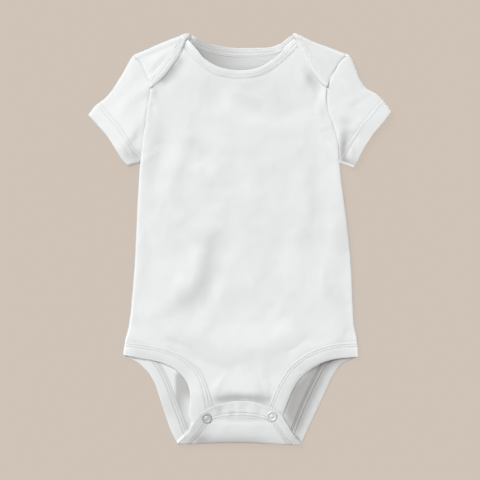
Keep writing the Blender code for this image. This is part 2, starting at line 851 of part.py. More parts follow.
def make_snap(side, centre, material):
    """One closed snap: ring under the tab, stud, socket, and the ringed cap on the flap."""
    back_ring = (
        (2.2, BACK_RING_THICK),
        (SNAP_RADIUS, BACK_RING_THICK),
        (SNAP_RADIUS, 0.0),
        (2.2, 0.0),
    )
    stud = ((0.0, STUD_THICK), (SNAP_RADIUS, STUD_THICK), (SNAP_RADIUS, 0.0), (0.0, 0.0))
    socket = ((0.0, SOCKET_THICK), (SNAP_RADIUS, SOCKET_THICK), (SNAP_RADIUS, 0.0), (0.0, 0.0))
    cap = (
        (0.0, 0.85),
        (1.4, 0.75),
        (2.3, 0.4),
        (3.1, 0.4),
        (3.6, 0.8),
        (4.6, 0.8),
        (SNAP_RADIUS, 0.4),
        (SNAP_RADIUS, 0.0),
        (0.0, 0.0),
    )
    tab_top = front_z(centre) - CLOTH / 2 + BAND
    flap_low = flap_z(centre) - CLOTH / 2
    turned(f"snap_{side}_back_ring", back_ring, raised(centre, BACK_RING_Z), material)
    turned(f"snap_{side}_stud", stud, raised(centre, tab_top + SNAP_GAP), material)
    socket_z = flap_low - SNAP_GAP - SOCKET_THICK
    turned(f"snap_{side}_socket", socket, raised(centre, socket_z), material)
    turned(f"snap_{side}_cap", cap, raised(centre, flap_low + BAND + SNAP_GAP), material)


for old in list(bpy.data.objects):
    bpy.data.objects.remove(old)

garment = bpy.data.collections.new("baby_onesie")
bpy.context.scene.collection.children.link(garment)

jersey = paint("white_jersey", (0.80, 0.81, 0.81), 0.85, 0.0)
rib = paint("white_rib", (0.82, 0.83, 0.83), 0.85, 0.0)
metal = paint("snap_metal", (0.78, 0.78, 0.77), 0.35, 0.9)

make_back(jersey)
make_front(jersey)
make_sleeve("sleeve_left", SLEEVE_LEFT, True, jersey)
make_sleeve("sleeve_right", SLEEVE_RIGHT, False, jersey)
make_back_neck_band(rib)
make_front_neck_band(rib)
make_back_leg_band(rib)
make_front_leg_band(rib)
make_snap("left", SNAP_LEFT, metal)
make_snap("right", SNAP_RIGHT, metal)
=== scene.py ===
import math

import bmesh
import bpy
import numpy as np
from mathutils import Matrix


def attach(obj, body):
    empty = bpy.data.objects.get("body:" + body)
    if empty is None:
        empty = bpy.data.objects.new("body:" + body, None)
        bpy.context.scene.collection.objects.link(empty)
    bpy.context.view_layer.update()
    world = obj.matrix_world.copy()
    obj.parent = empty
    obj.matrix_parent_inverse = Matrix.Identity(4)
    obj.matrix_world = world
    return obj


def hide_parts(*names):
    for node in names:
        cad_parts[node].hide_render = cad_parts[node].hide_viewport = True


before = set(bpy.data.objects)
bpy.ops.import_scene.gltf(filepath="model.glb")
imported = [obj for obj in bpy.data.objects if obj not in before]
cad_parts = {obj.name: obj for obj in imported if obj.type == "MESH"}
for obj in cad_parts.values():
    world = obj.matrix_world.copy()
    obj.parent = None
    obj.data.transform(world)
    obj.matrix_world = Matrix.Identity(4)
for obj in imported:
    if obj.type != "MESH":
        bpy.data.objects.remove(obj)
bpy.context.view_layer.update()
print("frame loaded")

# All tables are in millimetres: X across the chest, Y from the crotch to the neck, Z up.
mm = 0.001

cloth = {
    "wall": 0.9,
    "bandWall": 1.2,
    "backLevel": 0.52,
    "frontLevel": 2.7,
    "backBandLevel": 0.76,
    "foldLevelLap": 5.2,
    "tipLevelLap": 4.5,
    "foldLevelFlap": 4.6,
    "snapLevelFlap": 6.5,
    "cuffLevel": 3.6,
    "underarmLevel": 3.3,
    "sideLevel": {"front": 1.35, "back": 1.15},
    "sideInset": {"front": -0.1, "back": 1.0},
    "sideRoll": 1.8,  # how far in from a side seam the cloth is rolled
    "rollEndY": 105.0,
    "chestWidth": 210.0,
    "tuck": 1.3,  # how far a panel runs on under its band
}

# Lines and grids.


def steps(count):
    return np.linspace(0.0, 1.0, count + 1)


def ease(share):
    share = np.clip(share, 0.0, 1.0)
    return share * share * (3.0 - 2.0 * share)


def mix(a, b, share):
    return a + (b - a) * share


def splineAt(points, positions):
    points = np.asarray(points, float)
    positions = np.asarray(positions, float)
    last = len(points) - 1
    index = np.clip(positions.astype(int), 0, last - 1)
    t = (positions - index)[:, None]
    ends = np.vstack([points[0] * 2 - points[1], points, points[-1] * 2 - points[-2]])
    p0, p1, p2, p3 = (ends[index + k] for k in range(4))
    curve = p1 * 2 + (p2 - p0) * t + (p0 * 2 - p1 * 5 + p2 * 4 - p3) * t**2
    return 0.5 * (curve + (p1 * 3 - p0 - p2 * 3 + p3) * t**3)


def positionsAt(points, shares):
    fine = np.arange((len(points) - 1) * 16 + 1) / 16
    marks = splineAt(points, fine)
    lengths = np.concatenate([[0.0], np.cumsum(np.linalg.norm(np.diff(marks, axis=0), axis=1))])
    return np.interp(np.asarray(shares) * lengths[-1], lengths, fine)


def smoothLine(points, shares):
    return splineAt(points, positionsAt(points, shares))


def straightLine(a, b, shares):
    return np.outer(1.0 - np.asarray(shares), a) + np.outer(shares, b)


def joined(first, *others):
    return np.concatenate([first] + [other[1:] for other in others])


def inset(line, distance):
    run = np.gradient(line, axis=0)
    run /= np.linalg.norm(run, axis=1)[:, None]
    return line + np.stack([-run[:, 1], run[:, 0]], axis=1) * distance


def coonsGrid(bottom, top, left, right, across, up):
    u = np.asarray(across)[None, :, None]
    v = np.asarray(up)[:, None, None]
    grid = bottom[None] * (1 - v) + top[None] * v + left[:, None] * (1 - u) + right[:, None] * u
    low = bottom[0] * (1 - u) + bottom[-1] * u
    high = top[0] * (1 - u) + top[-1] * u
    return grid - (low * (1 - v) + high * v)


# Distance to a line, how far along it, and which side of it each point lies on.
def nearLine(xy, line):
    line = np.asarray(line, float)
    best = np.full(xy.shape[:-1], 1e9)
    place = np.zeros(xy.shape[:-1])
    side = np.ones(xy.shape[:-1])
    for k, (a, b) in enumerate(zip(line[:-1, :2], line[1:, :2])):
        run = b - a
        size = run @ run
        share = np.clip(((xy - a) @ run) / max(size, 1e-9), 0.0, 1.0)
        off = xy - (a + share[..., None] * run)
        far = np.sqrt((off**2).sum(axis=-1))
        closer = far < best
        best = np.where(closer, far, best)
        place = np.where(closer, k + share, place)
        side = np.where(closer, np.sign(run[0] * off[..., 1] - run[1] * off[..., 0]), side)
    return best, place, side


# 1 on a line, falling off softly over a width.
def bell(far, width):
    return np.exp(-((far / width) ** 2))


# The same round a point, with a reach along x and one along y.
def spot(xy, x, y, wide, high):
    return np.exp(-(((xy[..., 0] - x) / wide) ** 2) - ((xy[..., 1] - y) / high) ** 2)


# Each fold: width on its left, width on its right, and marks of x, y and rise.
def foldHeights(xy, folds):
    total = np.zeros(xy.shape[:-1])
    for leftWidth, rightWidth, marks in folds:
        marks = np.asarray(marks, float)
        line = splineAt(marks, np.linspace(0, len(marks) - 1, 5 * (len(marks) - 1) + 1))
        far, place, side = nearLine(xy, line[:, :2])
        rise = np.interp(place, np.arange(len(line)), line[:, 2])
        width = np.where(side > 0, leftWidth, rightWidth)
        total += rise * bell(far, width)
    return total


# Smooth random heights from -1 to 1 on a lattice of one cell size, always the same.
def softNoise(xy, cell, seed):
    lattice = np.random.default_rng(seed).uniform(-1, 1, (160, 160))
    place = xy / cell + 71.37
    low = np.floor(place).astype(int)
    t = place - low
    t = t * t * (3 - 2 * t)
    i, j = low[..., 0] % 159, low[..., 1] % 159
    a = mix(lattice[i, j], lattice[i + 1, j], t[..., 0])
    b = mix(lattice[i, j + 1], lattice[i + 1, j + 1], t[..., 0])
    return mix(a, b, t[..., 1])


# The cut.

cut = {
    # y, left x, right x of the side seams
    "sides": [
        (78.3, -99.5, 99.5), (60.0, -100.5, 101.5), (35.0, -102.0, 104.8), (0.0, -103.5, 109.0),
        (-35.0, -105.5, 111.9), (-70.0, -108.5, 113.1), (-86.0, -110.6, 114.2), (-93.0, -112.2, 115.8),
        (-102.0, -114.8, 117.4), (-117.0, -116.8, 118.6),
    ],
    # from the underarm up to the shoulder fold
    "armholeLeft": [
        (-99.5, 78.3), (-97.8, 92.0), (-96.3, 106.0), (-94.5, 120.0), (-92.2, 134.4), (-89.8, 148.0),
        (-91.0, 157.0), (-94.5, 166.5), (-98.6, 175.0), (-104.8, 180.9),
    ],
    "armholeRight": [
        (99.5, 78.3), (98.3, 93.0), (96.5, 103.0), (93.3, 113.0), (89.6, 125.0), (86.4, 142.0),
        (88.3, 155.0), (92.7, 165.0), (98.0, 174.0), (102.3, 180.0), (105.2, 182.1),
    ],
    "neckPointLeft": (-49.6, 203.9),
    "neckPointRight": (52.4, 204.2),
    "crotchY": -203.1,
    "crotchArch": 1.5,
    "hemY": -96.0,
    "hemLean": 0.6,
}

# Bands: free edge x, y and seam x, y at each section.
bands = {
    "frontNeck": [
        (-52.6, 200.4, -60.0, 195.8), (-43.7, 190.9, -51.5, 185.0), (-35.8, 181.3, -42.0, 175.2),
        (-23.8, 173.7, -28.0, 165.6), (-11.8, 170.1, -13.8, 161.6), (0.1, 169.0, 0.3, 160.5),
        (11.3, 169.8, 13.0, 161.6), (21.8, 173.0, 25.5, 165.6), (32.3, 179.3, 37.8, 173.1),
        (40.8, 186.6, 47.4, 181.2), (48.1, 195.4, 55.3, 189.6), (54.4, 200.4, 61.6, 195.4),
    ],
    "backNeck": [
        (-49.6, 203.9, -59.2, 199.8), (-45.2, 203.0, -50.8, 194.4), (-39.8, 199.8, -43.6, 191.2),
        (-31.8, 196.2, -34.4, 187.2), (-19.8, 193.4, -21.0, 184.0), (-7.9, 191.7, -8.2, 182.4),
        (3.5, 191.4, 3.5, 182.0), (16.5, 191.5, 17.0, 182.3), (30.2, 192.2, 32.6, 184.0),
        (40.8, 196.0, 45.2, 188.7), (47.2, 200.8, 52.9, 193.4), (52.4, 204.2, 62.7, 199.7),
    ],
    "lapLeft": [
        (-49.6, 203.9, -59.2, 199.8), (-53.8, 200.0, -62.4, 197.2), (-56.6, 193.4, -64.9, 192.4),
        (-60.6, 184.4, -69.0, 186.0), (-67.7, 174.1, -75.2, 178.4), (-74.8, 164.6, -81.8, 170.2),
        (-80.5, 159.0, -87.0, 165.0), (-89.4, 151.6, -91.9, 160.2),
    ],
    "lapRight": [
        (52.4, 204.2, 62.7, 199.7), (55.7, 199.6, 66.0, 196.8), (57.9, 193.6, 67.9, 192.4),
        (60.9, 186.6, 70.5, 186.8), (66.9, 175.6, 75.4, 179.0), (74.5, 164.5, 81.3, 169.4),
        (81.8, 155.4, 86.6, 161.6), (87.0, 151.8, 88.9, 157.4),
    ],
    "frontLegLeft": [
        (-116.2, -115.6, -114.2, -102.0), (-99.0, -119.0, -95.8, -104.5),
        (-88.1, -120.8, -80.6, -107.4), (-75.5, -124.2, -68.0, -111.3), (-63.9, -130.6, -54.3, -117.9),
        (-54.6, -140.6, -41.8, -127.5), (-50.5, -151.0, -34.6, -140.0), (-49.8, -163.0, -29.6, -154.0),
        (-50.4, -176.0, -26.0, -166.0), (-45.6, -187.0, -20.0, -171.6),
    ],
    "frontLegRight": [
        (38.2, -187.0, 18.6, -171.6), (43.4, -173.0, 27.6, -166.6), (48.0, -160.4, 31.0, -160.0),
        (54.2, -147.2, 36.8, -146.0), (60.8, -138.0, 44.6, -132.6), (70.1, -130.0, 54.2, -122.4),
        (80.0, -124.0, 66.4, -113.8), (90.6, -120.5, 80.6, -107.4), (101.0, -118.6, 97.6, -103.7),
        (118.0, -117.2, 116.9, -102.4),
    ],
    "backLegLeft": [
        (-116.2, -116.4, -114.2, -102.0), (-104.6, -121.6, -94.0, -110.6),
        (-96.6, -127.6, -82.8, -119.6), (-90.0, -135.2, -75.2, -131.4), (-84.3, -146.0, -68.8, -145.2),
        (-79.4, -161.0, -63.2, -160.0), (-73.8, -178.0, -57.6, -174.0), (-68.6, -192.0, -52.6, -188.0),
        (-62.8, -203.1, -47.0, -203.1),
    ],
    "backLegRight": [
        (61.6, -203.9, 46.2, -203.7), (67.4, -191.0, 50.8, -188.0), (74.5, -176.0, 56.2, -174.0),
        (81.8, -160.0, 62.0, -159.6), (88.0, -147.0, 69.2, -144.6), (92.4, -137.4, 76.0, -131.6),
        (98.6, -128.2, 84.2, -119.6), (106.4, -122.0, 96.0, -110.8), (118.0, -117.4, 116.9, -102.4),
    ],
    "flapLeft": [
        (-62.8, -203.1, -47.0, -203.1), (-52.8, -193.0, -38.6, -195.0), (-46.6, -183.6, -34.0, -189.2),
        (-39.6, -173.6, -28.4, -183.0),
    ],
    "flapEnd": [
        (-39.6, -173.6, -28.4, -183.0), (-31.5, -168.8, -23.4, -180.6), (-20.9, -164.5, -17.0, -179.4),
        (-7.5, -161.8, -6.0, -178.8), (4.0, -161.4, 4.0, -178.8), (15.5, -162.6, 13.6, -179.6),
        (27.9, -166.2, 22.6, -181.4), (35.0, -169.8, 27.6, -183.2), (41.0, -174.2, 31.8, -185.8),
    ],
    "flapRight": [
        (61.6, -203.9, 46.2, -203.7), (54.0, -195.2, 40.4, -197.4), (47.6, -185.2, 36.0, -191.4),
        (41.0, -174.2, 31.8, -185.8),
    ],
}

counts = {
    "leg": 44,
    "crotch": 30,
    "shoulder": 22,
    "frontLegRows": 30,
    "frontTrunkRows": 96,
    "backLegRows": 26,
    "backTrunkRows": 60,
    "armholeRows": 58,
    "lapRows": 36,
    "flapRows": 24,
    "turnRows": 10,
    "rollColumns": (0.05, 0.15, 0.3, 0.5, 0.74, 1.0),
}


def makeShares():
    roll = counts["rollColumns"]
    total = 2 * counts["leg"] + counts["crotch"]
    near = np.array(roll) * cloth["sideRoll"] / cloth["chestWidth"]
    across = np.concatenate([[0.0], near, steps(total)[2:-2], (1.0 - near)[::-1], [1.0]])
    legColumns = counts["leg"] + len(roll) - 1
    legA = across[: legColumns + 1] / across[legColumns]
    legB = (across[-legColumns - 1 :] - across[-legColumns - 1]) / (1.0 - across[-legColumns - 1])
    shoulder = steps(counts["shoulder"] + len(roll) - 1)
    neck = steps(total - 2 * counts["shoulder"])
    return across, legA, legB, shoulder, neck, steps(counts["crotch"])


across, legShares, legSharesBack, shoulderShares, neckShares, crotchShares = makeShares()

sideCurve = {}
for sideName, column in (("left", 1), ("right", 2)):
    sideRows = np.array(cut["sides"])
    curve = smoothLine(sideRows[:, (column, 0)], steps(300))
    sideCurve[sideName] = curve[::-1]


def sideX(y, sideName):
    curve = sideCurve[sideName]
    return np.interp(y, curve[:, 1], curve[:, 0])


def sideEdge(y, sideName, layer):
    inward = cloth["sideInset"][layer] * (1 if sideName == "left" else -1)
    return np.stack([sideX(y, sideName) + inward, np.asarray(y, float)], axis=-1)


def sideDepth(xy, layer):
    fromLeft = xy[..., 0] - sideEdge(xy[..., 1], "left", layer)[..., 0]
    fromRight = sideEdge(xy[..., 1], "right", layer)[..., 0] - xy[..., 0]
    depth = np.maximum(0.0, np.minimum(fromLeft, fromRight))
    return np.where(xy[..., 1] > cloth["rollEndY"], cloth["sideRoll"], depth)


def rolled(level, depth, seamLevel):
    share = 1.0 - np.clip(depth / cloth["sideRoll"], 0.0, 1.0)
    return seamLevel + (level - seamLevel) * np.sqrt(np.maximum(0.0, 1.0 - share * share))


def armhole(sideName):
    return smoothLine(cut["armhole" + sideName.capitalize()], steps(counts["armholeRows"]))


def tipOf(sideName):
    return np.array(cut["armhole" + sideName.capitalize()][-1])


def neckPointOf(sideName):
    return np.array(cut["neckPoint" + sideName.capitalize()])


armholeLines = {name: armhole(name) for name in ("left", "right")}


# Free edge and seam of a band at shares of its length.
def sections(name, shares):
    rows = np.array(bands[name])
    places = positionsAt((rows[:, :2] + rows[:, 2:]) / 2, shares)
    return splineAt(rows, places)


# The panel's edge under a band: the seam, moved on under the band.
def cutEdge(rows):
    edge, seam = rows[:, :2], rows[:, 2:]
    away = seam - edge
    return seam - away / np.linalg.norm(away, axis=1)[:, None] * cloth["tuck"]


def outwardOf(a, b):
    run = (b - a) / np.linalg.norm(b - a)
    away = np.array([-run[1], run[0]])
    return away if away @ (a + b) > 0 else -away


# Rows of a half round that carries a line from one level up to another, inner rows only.
def turnRows(points, outward, low, high, bulge=0.4):
    radius = np.broadcast_to((high - low) / 2, len(points))
    reach = np.broadcast_to(np.asarray(bulge), (len(points), 1)) + radius[:, None]
    rows = []
    for share in steps(counts["turnRows"])[1:-1]:
        angle = share * math.pi
        flat = points + outward * reach * math.sin(angle)
        rows.append(np.column_stack([flat, low + radius - radius * math.cos(angle)]))
    return rows


def atLevel(xy, level):
    return np.concatenate([xy, np.broadcast_to(level, xy.shape[:-1])[..., None]], axis=-1)


# Heights of the layers.

frontFolds = {
    # width left, width right, then x, y, rise at each mark: the soft forms of the solid
    "forms": [
        (12, 12, [(-96.0, 94.0, 1.0), (-102.0, -20.0, 1.3), (-114.0, -104.0, 1.3)]),
        (12, 12, [(97.0, 94.0, 1.0), (108.0, -30.0, 1.3), (117.0, -104.0, 1.3)]),
        (11, 11, [(-24.0, 170.0, 0.9), (0.0, 165.0, 0.9), (26.0, 171.0, 0.9)]),
        (12, 12, [(-80.0, -116.0, 0.7), (-54.0, -130.0, 0.8), (-44.0, -152.0, 0.9)]),
        (12, 12, [(84.0, -114.0, 0.8), (58.0, -128.0, 0.8), (42.0, -152.0, 0.8)]),
        (11, 15, [(-22.0, 22.0, 0.5), (-33.0, 4.0, 1.6), (-41.5, -14.0, 2.7), (-46.0, -36.0, 2.9),
                  (-60.0, -56.0, 2.4), (-82.0, -72.0, 1.4)]),
        (9, 13, [(-10.0, 8.0, -0.3), (-24.0, -30.0, -1.0), (-38.0, -62.0, -0.9)]),
        (9, 13, [(-53.0, 106.0, 0.6), (-62.0, 78.0, 1.3), (-73.0, 46.0, 0.8)]),
        (9, 9, [(-78.0, 106.0, -0.8), (-82.0, 84.0, -1.2), (-87.0, 58.0, -0.8)]),
        (12, 12, [(94.0, 56.0, 0.7), (92.0, 6.0, 0.9), (96.0, -20.0, 0.4)]),
        (12, 8, [(74.0, 76.0, -0.5), (77.0, 36.0, -1.1), (74.0, 2.0, -0.6)]),
        (15, 15, [(-62.0, -90.0, 1.4), (-6.0, -106.0, 1.7), (50.0, -94.0, 1.2)]),
        (16, 11, [(-18.0, -143.0, 0.9), (0.0, -142.0, 1.1), (20.0, -143.0, 0.9)]),
    ],
    # finer creases: uneven in length, depth and spacing
    "creases": [
        (7, 10, [(-62.0, -18.0, 0.1), (-78.0, -38.0, 0.4), (-93.0, -70.0, 0.3)]),
        (6, 4, [(-88.0, 18.0, 0.35), (-84.0, -6.0, 0.25)]),
        (8, 9, [(-46.0, 94.0, -0.8), (-40.0, 89.0, -0.6)]),
        (8, 9, [(-40.0, 71.0, 0.7), (-28.0, 66.0, 0.5)]),
        (9, 9, [(8.0, 137.0, -0.6), (20.0, 131.0, -0.6)]),
        (9, 9, [(40.0, 138.0, -0.7), (52.0, 131.0, -0.6)]),
        (8, 10, [(2.0, 118.0, 0.2), (34.0, 113.0, 0.3), (64.0, 122.0, 0.2)]),
        (9, 9, [(-30.0, 148.0, -0.5), (-24.0, 140.0, -0.6)]),
        (6, 6, [(-53.0, 188.0, -0.3), (-62.0, 172.0, -0.6), (-74.0, 157.0, -0.5)]),
        (4, 4, [(67.0, 167.0, -0.5), (73.0, 158.0, -1.4), (79.0, 150.0, -0.5)]),
        (4, 5, [(58.0, 170.0, 0.2), (66.0, 156.0, 0.7), (73.0, 144.0, 0.4)]),
        (4, 5, [(82.0, 140.0, 0.7), (80.0, 122.0, 0.4), (84.0, 108.0, 0.1)]),
        (3, 4, [(-88.0, 147.0, 0.8), (-84.0, 136.0, 0.5), (-83.0, 124.0, 0.1)]),
        (5, 5, [(-92.5, 134.0, 0.1), (-90.5, 144.0, 0.8), (-89.5, 151.0, 0.6), (-91.0, 157.0, 0.2)]),
        (5, 5, [(87.5, 134.0, 0.1), (86.4, 144.0, 0.8), (87.5, 151.0, 0.6), (88.5, 157.0, 0.2)]),
        (3, 3, [(-87.0, 133.0, -0.5), (-86.0, 122.0, -0.2)]),
        (5, 7, [(48.0, -52.0, 0.3), (40.0, -70.0, 0.4), (26.0, -88.0, 0.2)]),
        (7, 7, [(-20.0, -56.0, 0.15), (-32.0, -80.0, 0.35), (-46.0, -94.0, 0.15)]),
        (9, 9, [(50.0, 4.0, 0.2), (51.0, -20.0, 0.6), (48.0, -42.0, 0.3)]),
        (10, 10, [(13.0, 72.0, 0.2), (12.0, 50.0, 0.5), (8.0, 28.0, 0.3)]),
        (7, 7, [(92.0, -56.0, -0.3), (104.0, -66.0, -0.4)]),
        (5, 5, [(14.0, 22.0, -0.25), (50.0, 10.0, -0.2)]),
        (4, 4, [(86.0, -16.0, 0.35), (82.0, -44.0, 0.3), (88.0, -66.0, 0.1)]),
        (3, 4, [(-70.0, -101.0, -0.4), (-52.0, -108.0, -0.6), (-40.0, -118.0, -0.3)]),
        (4, 3, [(52.0, -110.0, -0.5), (66.0, -100.0, -0.3)]),
        (15, 6, [(-33.0, -153.0, 0.1), (-20.0, -152.5, 0.7), (0.0, -151.5, 0.9),
                 (22.0, -152.5, 0.7), (35.0, -153.0, 0.1)]),
        (5, 5, [(-100.0, -119.0, -0.4), (-76.0, -124.0, -0.9),
                (-55.0, -140.0, -0.6), (-50.0, -160.0, -0.4)]),
        (2, 2, [(104.0, -118.5, -0.2), (82.0, -123.5, -0.5), (62.0, -137.0, -0.5),
                (47.0, -162.0, -0.5), (38.0, -187.0, -0.5)]),
        (7, 7, [(-50.0, 197.0, 0.3), (-36.0, 181.0, 0.6), (-12.0, 168.0, 0.5),
                (14.0, 168.0, 0.4), (42.0, 188.0, 0.2)]),
        (3, 3, [(-24.0, -148.0, 0.5), (-13.0, -132.0, 0.3)]),
        (3, 3, [(26.0, -150.0, 0.5), (21.0, -130.0, 0.3)]),
        (4, 4, [(-97.0, 78.0, 0.5), (-84.0, 88.0, 0.4), (-74.0, 92.0, 0.1)]),
        (3, 4, [(97.0, 82.0, 0.5), (86.0, 92.0, 0.4), (78.0, 100.0, 0.1)]),
        (3, 3, [(92.0, 116.0, 0.4), (82.0, 112.0, 0.3)]),
        (4, 4, [(-104.0, -60.0, -0.3), (-102.0, -84.0, -0.4)]),
        (3, 3, [(105.0, -86.0, 0.4), (98.0, -98.0, 0.3)]),
    ],
    "unevenness": ((31.0, 0.52, 14), (17.0, 0.4, 11), (8.0, 0.14, 12), (4.2, 0.04, 13)),
}

backFolds = {
    "creases": [
        (9, 12, [(-60.0, 120.0, 0.25), (-30.0, 40.0, 0.5), (-40.0, -30.0, 0.2)]),
        (12, 9, [(50.0, 90.0, 0.2), (66.0, 10.0, 0.45), (52.0, -60.0, 0.3)]),
        (7, 7, [(-70.0, -60.0, 0.2), (-20.0, -90.0, 0.45), (30.0, -84.0, 0.2)]),
        (5, 6, [(-66.0, -136.0, 0.3), (-50.0, -150.0, 0.5), (-44.0, -176.0, 0.4)]),
        (5, 5, [(66.0, -136.0, 0.3), (52.0, -152.0, 0.5), (46.0, -180.0, 0.3)]),
        (6, 6, [(-40.0, 178.0, 0.2), (-8.0, 172.0, 0.5), (30.0, 180.0, 0.2)]),
        (8, 8, [(-10.0, 130.0, 0.3), (20.0, 80.0, 0.4)]),
    ],
    "unevenness": ((19.0, 0.06, 21), (7.0, 0.03, 22)),
    "lift": 0.08,
    "bandShare": 0.4,
}


def uneven(xy, waves):
    return sum(rise * softNoise(xy, cell, seed) for cell, rise, seed in waves)


seamLines = {}  # filled below: where panels dip into their seams


def seamDip(xy, line, depth, width):
    return -depth * bell(nearLine(xy, line)[0], width)


seamDips = {  # how deep and how wide
    "left": (0.4, 1.3),
    "right": (0.4, 1.3),
    "frontNeck": (0.15, 1.6),
    "frontLeg": (0.15, 1.6),
}


def frontHeight(xy, seams=False):
    level = cloth["frontLevel"] + foldHeights(xy, frontFolds["forms"])
    level += foldHeights(xy, frontFolds["creases"]) + uneven(xy, frontFolds["unevenness"])
    if seams:
        for name, (depth, width) in seamDips.items():
            level += seamDip(xy, seamLines[name], depth, width)
    return rolled(level, sideDepth(xy, "front"), cloth["sideLevel"]["front"])


def backHeight(xy, inBand=False):
    level = cloth["backLevel"] + foldHeights(xy, backFolds["creases"])
    level += backFolds["lift"] + uneven(xy, backFolds["unevenness"])
    if inBand:
        level = backFolds["bandShare"] * (level - cloth["backLevel"]) + cloth["backBandLevel"]
    return rolled(level, sideDepth(xy, "back"), cloth["sideLevel"]["back"])


# The back's bands follow its creases only in part.
def backBandHeight(xy):
    return backHeight(xy, inBand=True)


def flapHeight(xy):
    climb = ease((xy[..., 1] - cut["crotchY"]) / flapFolds["climb"])
    level = mix(cloth["foldLevelFlap"], cloth["snapLevelFlap"], climb)
    level += foldHeights(xy, flapFolds["creases"]) + uneven(xy, flapFolds["unevenness"]) * climb
    return level


flapFolds = {
    "creases": [
        (3, 2, [(-25.0, -177.0, 0.1), (-23.0, -171.0, 0.35)]),
        (2, 2, [(-17.0, -179.0, -0.2), (-18.0, -172.0, -0.45), (-20.0, -167.0, -0.1)]),
        (3, 2, [(-8.5, -180.0, 0.1), (-11.5, -174.0, 0.7), (-12.0, -166.0, 0.1)]),
        (2, 2, [(-5.0, -178.0, -0.3), (-6.0, -173.0, -0.6)]),
        (2, 3, [(-1.0, -174.0, 0.3), (-1.5, -167.0, 0.5)]),
        (3, 4, [(9.0, -178.0, 0.2), (12.0, -168.0, 0.35)]),
        (2, 3, [(19.0, -176.0, -0.25), (20.0, -170.0, -0.3)]),
        (5, 5, [(-22.0, -200.0, 0.2), (-16.0, -188.0, 0.4), (-18.0, -181.0, 0.2)]),
        (6, 5, [(16.0, -201.0, 0.2), (10.0, -190.0, 0.4), (17.0, -183.0, 0.2)]),
        (6, 6, [(-33.3, -178.3, -0.2), (-33.0, -178.0, -0.2)]),
        (6, 6, [(31.8, -176.6, -0.2), (32.0, -176.4, -0.2)]),
    ],
    "unevenness": ((9.0, 0.16, 31), (3.6, 0.12, 32)),
    "climb": 20.0,
    "foldBulge": -0.7,
    # painted shade, darker towards the crotch fold and under the left snap; below zero, painted light
    "shadows": [
        (-8.0, -206.0, 48.0, 9.0, 0.36), (-8.0, -204.5, 48.0, 3.0, 0.1),
        (-41.0, -190.0, 10.0, 12.0, 0.14), (-36.0, -178.0, 9.0, 7.0, 0.12),
        (-24.0, -168.0, 9.0, 5.0, 0.18), (-40.0, -199.5, 11.0, 5.0, 0.17),
        (2.0, -199.5, 32.0, 4.0, 0.07), (52.0, -201.0, 8.0, 5.0, 0.12), (-52.5, -188.5, 3.0, 6.0, -0.3),
        (2.0, -179.5, 25.0, 2.4, 0.1),
    ],
}

# Meshes.


# Painted shade and light on the flap.
def flapShade(xy):
    return spotShade(xy, flapFolds["shadows"])


def gridNormals(grid):
    alongRows = np.gradient(grid, axis=0)
    alongColumns = np.gradient(grid, axis=1)
    normal = np.cross(alongColumns, alongRows)
    size = np.linalg.norm(normal, axis=-1, keepdims=True)
    return normal / np.maximum(size, 1e-9)


hollowLimits = (-0.12, 0.03)  # the darkest painted hollow and the lightest painted ridge


# Painted shade: hollows are painted a little darker than ridges, from the level against its neighbourhood.
def hollowShade(level, reach, strength):
    wide = level
    for axis in (0, 1):
        padded = np.concatenate([np.repeat(wide.take([0], axis), reach, axis), wide], axis)
        padded = np.concatenate([padded, np.repeat(wide.take([-1], axis), reach + 1, axis)], axis)
        total = np.cumsum(padded, axis)
        size = wide.shape[axis]
        upper = total.take(np.arange(2 * reach + 1, 2 * reach + 1 + size) - 1, axis)
        lower = total.take(np.arange(size), axis)
        wide = (upper - lower) / (2 * reach)
    return 1.0 + np.clip((level - wide) * strength, *hollowLimits)


# Painted tone on cloth turned round an edge: the left ones catch the light, so they are painted darker;
# most right ones lie in shade and are painted lighter.
paintedEdgeTone = {
    "frontLeft": 0.84,
    "frontRight": 1.06,
    "lapLeft": 0.84,
    "lapRight": 0.97,
    "sleeveLeft": 0.78,
    "sleeveRight": 1.06,
}


# Painted tone over a turn: from the edge's painted tone on its low side up to the tone of the cloth above
# it.
def turnTones(above, edge):
    up = steps(counts["turnRows"]).reshape(-1, 1)
    return mix(edge, above, ease((up - 0.55) / 0.45))


def toSeams(grid, lines):
    return np.min([nearLine(grid[..., :2], line)[0] for line in lines], axis=0)


def gridFaces(rows, columns, start):
    i, j = np.meshgrid(np.arange(rows - 1), np.arange(columns - 1), indexing="ij")
    a = (start + i * columns + j).ravel()
    return np.stack([a, a + 1, a + 1 + columns, a + columns], axis=1)


# Distances across and along a grid, for its weave.
def arcLengths(grid):
    acrossRun = np.linalg.norm(np.diff(grid, axis=1), axis=-1)
    alongRun = np.linalg.norm(np.diff(grid, axis=0), axis=-1).mean(axis=1)
    u = np.concatenate([np.zeros((len(grid), 1)), np.cumsum(acrossRun, axis=1)], axis=1)
    u -= u[:, -1:] / 2
    v = np.concatenate([[0.0], np.cumsum(alongRun)])[:, None] + np.zeros_like(u)
    return np.stack([u, v], axis=-1)


def placed(name, data):
    made = bpy.data.objects.new(name, data)
    bpy.context.scene.collection.objects.link(made)
    return made


